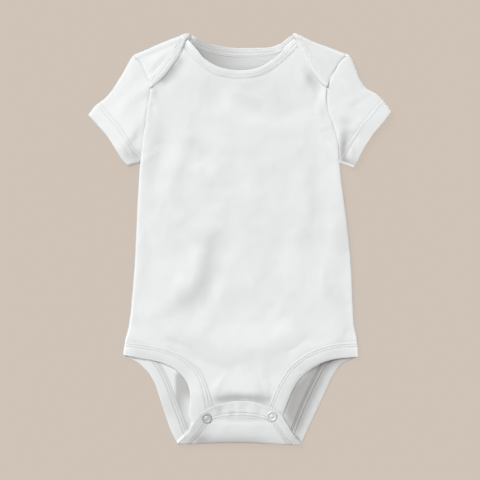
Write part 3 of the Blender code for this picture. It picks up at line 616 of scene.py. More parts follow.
# A mesh from points and weave coordinates in millimetres; the weave is a UV map in decimetres.
def makePiece(name, points, faces, weave, marks, material):
    mesh = bpy.data.meshes.new(name)
    mesh.from_pydata((points * mm).tolist(), [], faces if isinstance(faces, list) else faces.tolist())
    for markName, values in marks.items():
        mark = mesh.attributes.new(markName, "FLOAT", "POINT")
        mark.data.foreach_set("value", np.asarray(values, np.float32).ravel())
    layer = mesh.uv_layers.new(name="weave")
    corners = np.empty(len(mesh.loops), dtype=np.int64)
    mesh.loops.foreach_get("vertex_index", corners)
    layer.data.foreach_set("uv", (weave[corners] * 0.01).astype(np.float32).ravel())
    mesh.materials.append(material)
    shape = bmesh.new()
    shape.from_mesh(mesh)
    bmesh.ops.remove_doubles(shape, verts=shape.verts, dist=0.00001)
    bmesh.ops.recalc_face_normals(shape, faces=shape.faces)
    shape.to_mesh(mesh)
    shape.free()
    mesh.shade_smooth()
    return placed(name, mesh)


# Marks on the points: "shade" is the painted light and shade on the tone, "fromSeam" the distance in
# millimetres to what is sewn.
def clothSheet(name, grids, weaves, material, shades, seams):
    points, faces, weave, start = [], [], [], 0
    for grid, uv in zip(grids, weaves):
        rows, columns = grid.shape[:2]
        points.append(grid.reshape(-1, 3))
        weave.append(uv.reshape(-1, 2))
        faces.append(gridFaces(rows, columns, start))
        start += rows * columns
    weave = np.vstack(weave)
    marks = {
        "shade": np.hstack([shade.ravel() for shade in shades]),
        "fromSeam": np.hstack([seam.ravel() for seam in seams]),
    }
    piece = makePiece(name, np.vstack(points), np.vstack(faces), weave, marks, material)
    wall = piece.modifiers.new("Cloth wall", "SOLIDIFY")
    wall.thickness = cloth["wall"] * mm
    wall.offset = 0.0
    wall.use_even_offset = False
    return piece


# Shader groups and finishes.


def newGroup(name, inputs, outputs):
    group = bpy.data.node_groups.new(name, "ShaderNodeTree")
    for socketName, kind, value in inputs:
        made = group.interface.new_socket(name=socketName, in_out="INPUT", socket_type=kind)
        if value is not None:
            made.default_value = value
    for socketName, kind in outputs:
        group.interface.new_socket(name=socketName, in_out="OUTPUT", socket_type=kind)
    return group, group.nodes.new("NodeGroupInput"), group.nodes.new("NodeGroupOutput")


def setInputs(node, values):
    for socketName, value in values.items():
        node.inputs[socketName].default_value = value


def newMaterial(name, values):
    material = bpy.data.materials.new(name)
    material.use_nodes = True
    tree = material.node_tree
    shader = tree.nodes["Principled BSDF"]
    setInputs(shader, values)
    return material, tree, shader


def markNode(tree, name):
    node = tree.nodes.new("ShaderNodeAttribute")
    node.attribute_name = name
    return node


def mathNode(tree, operation, first, second=None, third=None):
    node = tree.nodes.new("ShaderNodeMath")
    node.operation = operation
    for socket, value in zip(node.inputs, (first, second, third)):
        if value is None:
            continue
        if isinstance(value, (int, float)):
            socket.default_value = value
        else:
            tree.links.new(value, socket)
    return node.outputs[0]


# Takes a value through one operation after another.
def mathChain(tree, value, *stages):
    for operation, *others in stages:
        value = mathNode(tree, operation, value, *others)
    return value


# Each wire: a node, its output, the next node and its input.
def wireUp(tree, *wires):
    for source, output, target, entry in wires:
        tree.links.new(source.outputs[output], target.inputs[entry])


# Jersey: upright wales of V-shaped stitches. Ribs: the same with deep channels between.
def makeKnitGroup():
    group, given, made = newGroup(
        "knitSurface",
        [
            ("Weave", "NodeSocketVector", None),
            ("Wale mm", "NodeSocketFloat", 1.0),
            ("Course mm", "NodeSocketFloat", 0.8),
            ("Channel", "NodeSocketFloat", 0.0),
            ("Slant", "NodeSocketFloat", 0.5),
        ],
        [("Height", "NodeSocketFloat"), ("Shade", "NodeSocketFloat")],
    )
    parts = group.nodes.new("ShaderNodeSeparateXYZ")
    fuzz = group.nodes.new("ShaderNodeTexNoise")
    setInputs(fuzz, {"Scale": 55.0, "Detail": 2.0})
    wireUp(group, (given, "Weave", parts, 0), (given, "Weave", fuzz, "Vector"))
    wander = mathNode(group, "MULTIPLY_ADD", fuzz.outputs[0], 0.5, -0.25)
    u, v = (
        mathChain(group, axis, ("MULTIPLY", 100.0), ("DIVIDE", given.outputs[size]), ("ADD", wander))
        for axis, size in zip(parts.outputs, ("Wale mm", "Course mm"))
    )
    slant = mathChain(group, u, ("PINGPONG", 0.5), ("MULTIPLY", given.outputs["Slant"]), ("MULTIPLY", 2.0))
    turns = (("ADD", slant), ("MULTIPLY", 2 * math.pi), ("SINE",), ("MULTIPLY_ADD", 0.22, 0.78))
    loops = mathChain(group, v, *turns)
    wales = mathChain(group, u, ("MULTIPLY", math.pi), ("SINE",), ("ABSOLUTE",), ("POWER", 0.6))
    height = mathNode(group, "MULTIPLY", wales, loops)
    deep = mathNode(group, "SUBTRACT", height, 1.0)
    channel = mathNode(group, "MULTIPLY_ADD", given.outputs["Channel"], 1.0, 1.0)
    height = mathNode(group, "MULTIPLY_ADD", deep, channel, 1.0)
    group.links.new(height, made.inputs["Height"])
    # painted shade: the tone darkens where the knit's surface is low, between loops and in the channels
    shade = mathChain(group, height, ("MULTIPLY_ADD", 0.07, 0.93), ("MINIMUM", 1.0))
    group.links.new(shade, made.inputs["Shade"])
    return group


# Washed cotton: slow changes of tone and a fine fuzz of fibres.
def makeWashGroup():
    group, given, made = newGroup(
        "washedCotton",
        [
            ("Place", "NodeSocketVector", None),
            ("Tone change", "NodeSocketFloat", 0.03),
            ("Roughness", "NodeSocketFloat", 0.9),
        ],
        [("Tone", "NodeSocketFloat"), ("Roughness", "NodeSocketFloat"), ("Fuzz", "NodeSocketFloat")],
    )
    slow = group.nodes.new("ShaderNodeTexNoise")
    setInputs(slow, {"Scale": 26.0, "Detail": 3.0})
    fine = group.nodes.new("ShaderNodeTexNoise")
    setInputs(fine, {"Scale": 2600.0, "Detail": 2.0})
    for noise in (slow, fine):
        group.links.new(given.outputs["Place"], noise.inputs["Vector"])
    centred = mathNode(group, "SUBTRACT", slow.outputs[0], 0.5)
    tone = mathNode(group, "MULTIPLY_ADD", centred, given.outputs["Tone change"], 1.0)
    group.links.new(tone, made.inputs["Tone"])
    rough = mathNode(group, "MULTIPLY_ADD", centred, 0.12, given.outputs["Roughness"])
    group.links.new(rough, made.inputs["Roughness"])
    group.links.new(fine.outputs[0], made.inputs["Fuzz"])
    return group


# Sewn lines: soft grooves at set distances from a seam.
def makeSewnGroup():
    names = ("Line 1 mm", "Line 2 mm", "Line 3 mm")
    group, given, made = newGroup(
        "sewnLines",
        [("Distance mm", "NodeSocketFloat", 99.0), ("Width mm", "NodeSocketFloat", 0.5)]
        + [(line, "NodeSocketFloat", -9.0) for line in names],
        [("Groove", "NodeSocketFloat")],
    )
    groove = None
    for line in names:
        off = mathNode(group, "SUBTRACT", given.outputs["Distance mm"], given.outputs[line])
        off = mathNode(group, "DIVIDE", off, given.outputs["Width mm"])
        depth = mathChain(group, off, ("MULTIPLY", off), ("MULTIPLY", -1.0), ("EXPONENT",))
        groove = depth if groove is None else mathNode(group, "MAXIMUM", groove, depth)
    group.links.new(groove, made.inputs["Groove"])
    return group


knitGroup = makeKnitGroup()
washGroup = makeWashGroup()
sewnGroup = makeSewnGroup()


def placeGroup(tree, group, values):
    node = tree.nodes.new("ShaderNodeGroup")
    node.node_tree = group
    setInputs(node, values)
    return node


paintedWarmBounce = (1.04, 0.97, 0.95)  # painted warm bounce from the floor on the cloth's painted shade


def clothFinish(name, looks, sewn=None):
    gloss = {"Sheen Weight": looks["sheen"], "Sheen Roughness": 0.6, "Specular IOR Level": 0.25}
    material, tree, shader = newMaterial(name, gloss)
    uv = tree.nodes.new("ShaderNodeUVMap")
    uv.uv_map = "weave"
    coords = tree.nodes.new("ShaderNodeTexCoord")
    knit = placeGroup(tree, knitGroup, looks["knit"])
    wash = placeGroup(tree, washGroup, looks["wash"])
    wireUp(tree, (uv, 0, knit, "Weave"), (coords, "Object", wash, "Place"))
    tone = mathNode(tree, "MULTIPLY", knit.outputs["Shade"], wash.outputs["Tone"])
    height = mathNode(tree, "MULTIPLY_ADD", wash.outputs["Fuzz"], looks["fuzz"], knit.outputs["Height"])
    shade, seam = markNode(tree, "shade"), markNode(tree, "fromSeam")
    # painted light and shade: the tone times each point's shade mark
    tone = mathNode(tree, "MULTIPLY", tone, shade.outputs["Fac"])
    if sewn:
        lines = placeGroup(tree, sewnGroup, {"Width mm": sewn["width"]})
        for k, place in enumerate(sewn["lines"]):
            lines.inputs[f"Line {k + 1} mm"].default_value = place
        tree.links.new(seam.outputs["Fac"], lines.inputs["Distance mm"])
        # painted shade in the sewn grooves
        darker = mathNode(tree, "MULTIPLY_ADD", lines.outputs["Groove"], -sewn["dark"], 1.0)
        tone = mathNode(tree, "MULTIPLY", tone, darker)
        height = mathNode(tree, "MULTIPLY_ADD", lines.outputs["Groove"], -sewn["depth"], height)
    colour = tree.nodes.new("ShaderNodeVectorMath")
    colour.operation = "SCALE"
    # painted warm bounce: where the cloth is painted in shade it takes a little warmth from the floor
    tint = tree.nodes.new("ShaderNodeMix")
    tint.data_type = "RGBA"
    tree.links.new(shade.outputs["Fac"], tint.inputs["Factor"])
    warm = [channel * cast for channel, cast in zip(looks["colour"], paintedWarmBounce)]
    sockets = [socket for socket in tint.inputs if socket.type == "RGBA"]
    for socket, value in zip(sockets, (warm, looks["colour"])):
        socket.default_value = (*value, 1.0)
    tree.links.new(tone, colour.inputs["Scale"])
    bump = tree.nodes.new("ShaderNodeBump")
    setInputs(bump, {"Strength": looks["bump"], "Distance": 0.25 * mm})
    tree.links.new(height, bump.inputs["Height"])
    wireUp(
        tree,
        (tint, 2, colour, 0),  # output 2 is the mixed colour
        (colour, 0, shader, "Base Color"),
        (wash, "Roughness", shader, "Roughness"),
        (bump, 0, shader, "Normal"),
    )
    return material


finishes = {
    "jersey": {
        "colour": (0.815, 0.828, 0.824),
        "sheen": 0.12,
        "fuzz": 0.5,
        "bump": 0.45,
        "knit": {"Wale mm": 0.95, "Course mm": 0.75, "Channel": 0.0, "Slant": 0.5},
        "wash": {"Tone change": 0.05, "Roughness": 0.9},
    },
    "rib": {
        "colour": (0.825, 0.838, 0.834),
        "sheen": 0.12,
        "fuzz": 0.4,
        "bump": 0.6,
        "knit": {"Wale mm": 1.15, "Course mm": 0.8, "Channel": 0.6, "Slant": 0.35},
        "wash": {"Tone change": 0.04, "Roughness": 0.9},
    },
    "thread": {
        "colour": (0.88, 0.885, 0.885),
        "sheen": 0.2,
        "fuzz": 0.3,
        "bump": 0.3,
        "knit": {"Wale mm": 0.3, "Course mm": 0.4, "Channel": 0.0, "Slant": 0.9},
        "wash": {"Tone change": 0.02, "Roughness": 0.6},
    },
}

# each: where the lines lie from the seam, their width, the painted shade in their grooves and how deep
# their bump is
sewnLines = {
    "armhole": {"lines": (0.0,), "width": 0.45, "dark": 0.15, "depth": 1.0},
    "cuff": {"lines": (12.9, 16.2), "width": 0.5, "dark": 0.13, "depth": 1.2},
    "neck": {"lines": (0.0, 1.5, 3.7), "width": 0.4, "dark": 0.08, "depth": 0.9},
    "frontLeg": {"lines": (0.0, 2.2, 4.5), "width": 0.45, "dark": 0.16, "depth": 1.2},
    "backLeg": {"lines": (0.0, 2.4, 5.0), "width": 0.5, "dark": 0.26, "depth": 1.6},
}

jersey = clothFinish("whiteJersey", finishes["jersey"], sewnLines["armhole"])
sleeveJersey = clothFinish("whiteJerseySleeve", finishes["jersey"], sewnLines["cuff"])
neckRib = clothFinish("whiteRibNeck", finishes["rib"], sewnLines["neck"])
frontLegRib = clothFinish("whiteRibFrontLeg", finishes["rib"], sewnLines["frontLeg"])
backLegRib = clothFinish("whiteRibBackLeg", finishes["rib"], sewnLines["backLeg"])
thread = clothFinish("whiteThread", finishes["thread"])
print("finishes made")

# The cut lines at full detail.


def frontLegSections():
    left = sections("frontLegLeft", legShares)
    right = sections("frontLegRight", legSharesBack)
    tab = straightLine(left[-1], right[0], crotchShares)
    return joined(left, tab, right)


seamLines["left"] = armholeLines["left"]
seamLines["right"] = armholeLines["right"]
seamLines["frontNeck"] = sections("frontNeck", steps(70))[:, 2:]
seamLines["frontLeg"] = frontLegSections()[::2, 2:]


def bodyRows(layer, bottom, neck, legRows, trunkRows, reach):
    width = bottom[-1, 0] - bottom[0, 0]
    under = (bottom[:, 0] - bottom[0, 0]) / width
    shares = mix(across, under, cut["hemLean"])
    leftHem, rightHem = (sideEdge(cut["hemY"], name, layer) for name in ("left", "right"))
    hem = straightLine(leftHem, rightHem, shares)
    up = steps(legRows)
    bottom[0] = sideEdge(bottom[0, 1], "left", layer)
    bottom[-1] = sideEdge(bottom[-1, 1], "right", layer)
    left = straightLine(bottom[0], hem[0], up)
    right = straightLine(bottom[-1], hem[-1], up)
    for line, name in ((left, "left"), (right, "right")):
        line[:, 0] = sideEdge(line[:, 1], name, layer)[:, 0]
    rows = [coonsGrid(bottom, hem, left, right, across, up)]
    underarmY = cut["sides"][0][0]
    trunk = []
    for rise in steps(trunkRows)[1:]:
        y = mix(cut["hemY"], underarmY, rise)
        even = mix(shares, across, ease(rise * 2.0))
        trunk.append(straightLine(sideEdge(y, "left", layer), sideEdge(y, "right", layer), even))
    rows.append(np.array(trunk))
    left, right = armholeLines["left"].copy(), armholeLines["right"].copy()
    left[0], right[0] = sideEdge(underarmY, "left", layer), sideEdge(underarmY, "right", layer)
    cutRows = int(round(counts["armholeRows"] * reach))
    if reach < 1.0:
        left = smoothLine(left[: cutRows + 1], steps(counts["armholeRows"]))
        right = smoothLine(right[: cutRows + 1], steps(counts["armholeRows"]))
    top = joined(
        straightLine(left[-1], neck[0], shoulderShares),
        neck,
        straightLine(neck[-1], right[-1], shoulderShares),
    )
    chest = coonsGrid(trunk[-1], top, left, right, across, steps(counts["armholeRows"]))
    rows.append(chest[1:])
    return np.vstack(rows)


frontPanel = {
    "reach": 0.965,
    # how strong the painted shade of hollows is
    "hollows": 0.05,
    # painted shade along lines, or painted light below zero: their marks, how dark, how wide, how ragged
    "paintedShadeAndLightLines": [
        ([(-21.0, -159.2), (-10.0, -157.9), (8.0, -157.5), (28.0, -159.5)], 0.31, 4.2, 0.35),
        ([(-61.0, 178.0), (-68.4, 167.6), (-75.6, 159.6)], 0.22, 4.4, 0.0),
        ([(-68.0, -108.0), (-50.0, -114.0), (-30.0, -121.0), (-8.0, -127.0)], 0.05, 4.5, 0.0),
        ([(-57.0, 190.0), (-60.5, 184.5), (-67.7, 174.1), (-74.8, 164.6), (-86.0, 154.2)],
         -0.3, 1.4, 0.0),
        ([(-57.5, 188.0), (-60.6, 182.0), (-64.5, 175.0)], -0.22, 2.6, 0.0),
    ],
    # painted shade of soft hollows: x, y, reach along x and y, how dark (below zero: painted light)
    "shadows": [
        (-74.0, 93.0, 6.0, 14.0, 0.04), (8.0, 86.0, 12.0, 9.0, 0.035), (-29.0, 157.0, 10.0, 8.0, -0.02),
        (30.0, 156.0, 10.0, 8.0, -0.02), (62.0, 152.0, 7.0, 8.0, 0.04), (50.0, 29.0, 9.0, 8.0, 0.035),
        (81.0, 16.0, 5.0, 10.0, 0.03), (44.0, 6.0, 8.0, 8.0, -0.02), (-61.0, -6.0, 8.0, 6.0, 0.04),
        (40.0, -51.0, 6.0, 10.0, 0.045), (-96.0, -28.0, 5.0, 12.0, 0.04),
        (-71.0, -31.0, 4.0, 14.0, -0.03), (-20.0, -72.0, 7.0, 10.0, -0.03),
        (20.0, -148.0, 8.0, 5.0, 0.04), (-63.0, 72.0, 9.0, 9.0, -0.025),
        (-93.0, 22.0, 6.0, 22.0, -0.025), (-30.0, 6.0, 9.0, 10.0, 0.055),
        (-59.0, 35.0, 7.0, 8.0, 0.045), (34.0, 126.0, 12.0, 6.0, 0.03), (90.0, 30.0, 7.0, 14.0, 0.035),
        (17.0, 12.0, 10.0, 7.0, 0.025), (-60.0, -51.0, 7.0, 7.0, 0.07), (-35.0, -59.0, 7.0, 14.0, 0.06),
        (-46.0, -1.0, 9.0, 6.0, 0.04), (7.0, -64.0, 9.0, 9.0, 0.03), (54.0, -83.0, 8.0, 7.0, 0.045),
        (-31.0, -84.0, 8.0, 6.0, -0.025), (47.0, -64.0, 6.0, 8.0, -0.025),
        (84.5, 141.0, 2.5, 14.0, -0.07), (101.0, 0.0, 11.0, 62.0, 0.06),
        (105.0, -80.0, 12.0, 26.0, 0.04), (20.0, -140.0, 4.0, 12.0, 0.05), (70.0, 163.0, 4.0, 7.0, 0.1),
        (76.0, 155.0, 4.0, 7.0, 0.12), (17.0, 134.0, 10.0, 9.0, 0.035), (44.0, 130.0, 17.0, 9.0, 0.06),
        (-37.0, 89.0, 10.0, 9.0, 0.06), (-81.0, 84.0, 6.0, 22.0, 0.03), (-66.0, 166.0, 6.0, 9.0, 0.06),
        (-31.0, -16.0, 6.0, 22.0, 0.03), (-42.0, 2.0, 12.0, 9.0, 0.07), (-63.0, -8.0, 9.0, 8.0, 0.03),
        (-62.0, -60.0, 11.0, 8.0, 0.07), (27.0, -31.0, 9.0, 12.0, 0.03), (68.0, -4.0, 9.0, 14.0, 0.03),
        (90.0, 56.0, 6.0, 14.0, 0.05), (-79.0, 77.0, 7.0, 12.0, 0.02), (-29.0, -56.0, 7.0, 15.0, 0.04),
        (-20.0, -30.0, 7.0, 10.0, 0.03), (24.0, 29.0, 11.0, 8.0, 0.04), (82.0, 28.0, 5.0, 26.0, 0.05),
        (68.0, 157.0, 6.0, 8.0, 0.08), (-86.5, 147.0, 3.0, 5.0, 0.1), (106.0, -6.0, 9.0, 44.0, 0.02),
        (-90.0, -30.0, 14.0, 120.0, -0.03), (25.0, 10.0, 60.0, 90.0, 0.015),
        (-101.0, -88.0, 18.0, 20.0, -0.05), (-30.0, 142.0, 12.0, 9.0, 0.02),
        (-58.0, -101.0, 14.0, 7.0, 0.025), (100.0, -60.0, 8.0, 12.0, 0.03),
    ],
}


# Painted shade round spots; where the darkness is below zero, painted light.
def spotShade(xy, spots):
    tone = np.ones(xy.shape[:-1])
    for x, y, wide, high, dark in spots:
        tone -= dark * spot(xy, x, y, wide, high)
    return tone


# Painted shade along lines, ragged in width; where the darkness is below zero, painted light.
def paintedLineTone(xy):
    tone = 1.0
    for line, dark, width, ragged in frontPanel["paintedShadeAndLightLines"]:
        far = nearLine(xy, smoothLine(line, steps(12)))[0]
        width = width * (1.0 + ragged * softNoise(xy * (1.0, 0.25), 3.0, 71))
        tone = tone * (1.0 - dark * bell(far, width))
    return tone


def makeFront():
    flat = bodyRows(
        "front",
        cutEdge(frontLegSections()),
        cutEdge(sections("frontNeck", neckShares)),
        counts["frontLegRows"],
        counts["frontTrunkRows"],
        frontPanel["reach"],
    )
    grid = atLevel(flat, frontHeight(flat, seams=True))
    # painted light and shade: darker hollows, the painted lines and spots, and the turned side edges
    shade = hollowShade(grid[..., 2], 7, frontPanel["hollows"]) * paintedLineTone(flat)
    shade *= spotShade(flat, frontPanel["shadows"])
    turned = np.where(flat[..., 0] < 0, paintedEdgeTone["frontLeft"], paintedEdgeTone["frontRight"])
    shade *= mix(turned, 1.0, ease(sideDepth(flat, "front") / cloth["sideRoll"]))
    seam = toSeams(grid, armholeLines.values())
    return clothSheet("frontPanel", [grid], [flat], jersey, [shade], [seam])


frontPiece = makeFront()
print("front made", len(frontPiece.data.polygons))


def shoulderCorner(name):
    row = 0 if name == "left" else -1
    return cutEdge(np.array(bands["backNeck"])[[row]])[0]


laps = {
    "tipLeft": 0.80,
    "tipRight": 0.76,
    # how far the fold bulges, from the sleeve to the neck
    "swell": {"left": (1.1, 1.0, 1.5, 1.3, 0.9), "right": (0.5, 0.3, -0.2, -0.9, 0.0)},
    "gap": 0.1,
    # painted light on the left lap, painted shade on the right one
    "tone": {"left": 1.11, "right": 0.985},
    # painted shade beside the left lap's fold, where it catches the light, and how wide
    "foldShade": {"left": 0.11, "right": 0.0},
    "foldShadeWidth": 2.2,
    "creases": [
        (4, 6, [(-72.0, 190.0, 0.2), (-84.0, 178.0, 0.45), (-92.0, 168.0, 0.3)]),
        (3, 4, [(-70.0, 186.0, -0.2), (-80.0, 174.0, -0.35), (-88.0, 165.0, -0.2)]),
        (5, 4, [(74.0, 190.0, 0.2), (86.0, 180.0, 0.4), (92.0, 170.0, 0.2)]),
    ],
    "unevenness": ((9.0, 0.1, 41), (5.0, 0.05, 42)),
}


# Levels at the armhole and beside the band, from the fold (0) to the tip (1).
def lapLevels(progress):
    arm = mix(cloth["foldLevelLap"], cloth["tipLevelLap"], ease(progress))
    edge = mix(cloth["foldLevelLap"], cloth["tipLevelLap"] + 0.3, progress)
    return arm, edge


def lapGrid(name):
    tip = tipOf(name)
    shares = steps(counts["lapRows"])
    seam = cutEdge(sections("lap" + name.capitalize(), shares))
    seam[0] = shoulderCorner(name)
    last = laps["tip" + name.capitalize()]
    arm = smoothLine(armholeLines[name], mix(1.0, last, shares))
    fold = straightLine(tip, seam[0], shoulderShares)
    rows = [atLevel(fold, cloth["backLevel"])]
    swell = np.interp(shoulderShares, steps(4), laps["swell"][name])[:, None]
    high = cloth["foldLevelLap"] + seamDip(fold, armholeLines[name], 0.35, 1.4)
    rows += turnRows(fold, outwardOf(tip, seam[0]), cloth["backLevel"], high, swell)
    for k, share in enumerate(shares):
        armLevel, edgeLevel = lapLevels(share)
        flat = straightLine(arm[k], seam[k], shoulderShares)
        level = mix(armLevel, edgeLevel, shoulderShares)
        level = level + foldHeights(flat, laps["creases"]) * ease(share * 3)
        level = level + uneven(flat, laps["unevenness"]) * ease(share * 3)
        level = level + seamDip(flat, armholeLines[name], mix(0.35, 0.45, ease(share * 3)), 1.4)
        rows.append(atLevel(flat, level))
    grid = np.array(rows)
    return grid if name == "left" else grid[:, ::-1]


def flapGrid(fold):
    left = sections("flapLeft", steps(counts["flapRows"]))
    right = sections("flapRight", steps(counts["flapRows"]))
    end = sections("flapEnd", crotchShares)
    left, right, end = cutEdge(left), cutEdge(right), cutEdge(end)
    left[0], right[0] = fold[0], fold[-1]
    left[-1], right[-1] = end[0], end[-1]
    flap = coonsGrid(fold, end, left, right, crotchShares, steps(counts["flapRows"]))
    rows = [atLevel(fold, cloth["backLevel"])]
    bulge = flapFolds["foldBulge"]
    rows += turnRows(fold, np.array([0.0, -1.0]), cloth["backLevel"], cloth["foldLevelFlap"], bulge)
    rows += list(atLevel(flap, flapHeight(flap)))
    return np.array(rows)[::-1]


inside = {
    # painted shade on the single layer of cloth in a leg: its tone beside the front's edge, and how far
    # that reaches
    "leftLeg": (0.64, 11.0),
    "rightLeg": (0.54, 60.0),
    # its painted shade in the neck, left and right
    "neck": (0.55, 0.92),
    # painted light beside the free edges that lie on it: how strong and how wide
    "light": {
        "frontLegRight": ((0.7, 2.2), (0.5, 1.1)),
        "flapRight": ((1.0, 1.3), (0.45, 4.5)),
        "flapLeft": ((0.4, 1.6),),
    },
}


# Painted light along the free edges that lie on the inner cloth, against the shade where they touch.
def contactLight(xy):
    x, y = xy[..., 0], xy[..., 1]
    lit = {}
    for name, parts in inside["light"].items():
        far = nearLine(xy, sections(name, steps(30))[:, :2])[0]
        lit[name] = sum(strength * bell(far, width) for strength, width in parts)
    right = lit["frontLegRight"] * ease((90.0 - x) / 10.0) + lit["flapRight"] * ease((y + 199.0) / 6.0)
    return 1 + right * (x > 0) + lit["flapLeft"] * (x < 0)


# Painted shade on the cloth seen through the neck and the legs, where the front and the laps shade it,
# with painted light along the edges that lie on it.
def insideShade(xy):
    x, y = xy[..., 0], xy[..., 1]
    left = nearLine(xy, sections("frontLegLeft", steps(40))[:, :2])[0]
    right = nearLine(xy, sections("frontLegRight", steps(40))[:, :2])[0]
    fade = mix(1.0, np.clip(left / inside["leftLeg"][1], 0.0, 1.0), ease((-150.0 - y) / 14.0))
    dark = (1 - inside["leftLeg"][0]) * fade * (x < 0)
    shade = 1 - dark * ease((-131.5 - y) / 4.0) * ease((x + 66.5) / 4.0)
    shade = shade * (1 + 0.25 * bell(left, 1.8) * (x < 0) * ease((y + 136.0) / 6.0))
    shade = shade - (1 - inside["rightLeg"][0]) * bell(right, inside["rightLeg"][1]) * (x > 0)
    shade = shade * contactLight(xy)
    neck = mix(inside["neck"][0], inside["neck"][1], ease((x + 46.0) / 80.0))
    return np.where(y > 100.0, neck, shade)


def makeBack():
    left = cutEdge(sections("backLegLeft", legShares))
    right = cutEdge(sections("backLegRight", legSharesBack))
    fold = straightLine(left[-1], right[0], crotchShares)
    fold[:, 1] += cut["crotchArch"] * np.sin(np.pi * crotchShares)
    neck = cutEdge(sections("backNeck", neckShares))
    neck[0], neck[-1] = shoulderCorner("left"), shoulderCorner("right")
    bottom = joined(left, fold, right)
    flat = bodyRows("back", bottom, neck, counts["backLegRows"], counts["backTrunkRows"], 1.0)
    level = backHeight(flat)
    # the panel lies flat towards the crotch fold and the two shoulder folds
    nearFold = np.minimum(
        ease((flat[..., 1] - cut["crotchY"]) / 12.0),
        ease((212.0 - flat[..., 1] - 0.42 * np.abs(np.abs(flat[..., 0]) - 52.0)) / 14.0),
    )
    level = mix(cloth["backLevel"], level, nearFold)
    level[0] = np.where(flat[0, :, 1] < cut["crotchY"] + 2.0, cloth["backLevel"], level[0])
    level[-1, : len(shoulderShares)] = cloth["backLevel"]
    level[-1, -len(shoulderShares) :] = cloth["backLevel"]
    grids = [atLevel(flat, level), flapGrid(fold), lapGrid("left"), lapGrid("right")]
    weaves = [flat] + [arcLengths(grid) for grid in grids[1:]]
    # painted light and shade: inside the openings, on the flap, where its turned rows go back to full
    # tone, and on the laps with their folds
    shades = [insideShade(flat), flapShade(grids[1][..., :2])]
    turned = ease(np.arange(counts["turnRows"] + 1) / 5)[:, None]
    shades[1][counts["flapRows"] :] = mix(shades[1][counts["flapRows"] :], 1.0, turned)
    for name, grid in zip(("left", "right"), grids[2:]):
        shade = hollowShade(grid[..., 2], 5, 0.05) * laps["tone"][name]
        fromFold = nearLine(grid[..., :2], grid[0, :, :2])[0]
        shade = shade * (1 - laps["foldShade"][name] * bell(fromFold, laps["foldShadeWidth"]))
        above = shade[counts["turnRows"]]
        shade[: counts["turnRows"] + 1] = turnTones(above, paintedEdgeTone["lap" + name.capitalize()])
        shades.append(shade)
    seams = [toSeams(grid, armholeLines.values()) for grid in grids]
    return clothSheet("backPanel", grids, weaves, jersey, shades, seams)


backPiece = makeBack()
print("back made", len(backPiece.data.polygons))

# Rib bands.

bandLooks = {
    "edgeRound": 0.9,
    "seamRound": 1.7,
    "crown": 0.08,
    "stitchDip": 0.12,
    "dipWidth": 0.6,
    "columns": 20,
    "ripple": 0.07,
    "inset": {"front": 0.35, "back": 0.2},
}


def bandColumns(width):
    near = np.array([0.0, 0.06, 0.22, 0.48, 0.8, 1.4]) / width
    middle = np.linspace(near[-1], 1.0 - near[-1], bandLooks["columns"])
    return np.concatenate([near[:-1], middle, (1.0 - near[:-1])[::-1]])


def bandRows(rows, height, columns, layer="front"):
    edge, seam = rows[:, None, :2], rows[:, None, 2:]
    flat = seam + (edge - seam) * columns[None, :, None]
    extra = bandLooks["inset"][layer]
    left = sideEdge(flat[..., 1], "left", layer)[..., 0] + extra
    right = sideEdge(flat[..., 1], "right", layer)[..., 0] - extra
    flat[..., 0] = np.where(flat[..., 1] < 0, np.clip(flat[..., 0], left, right), flat[..., 0])
    return atLevel(flat, height(flat))


def bandTurn(section, outward, low, high, columns, bulge=0.5):
    edge, seam = section[:2], section[2:]
    points = seam[None] + (edge - seam)[None] * columns[:, None]
    return np.array(turnRows(points, outward, low, high, bulge))


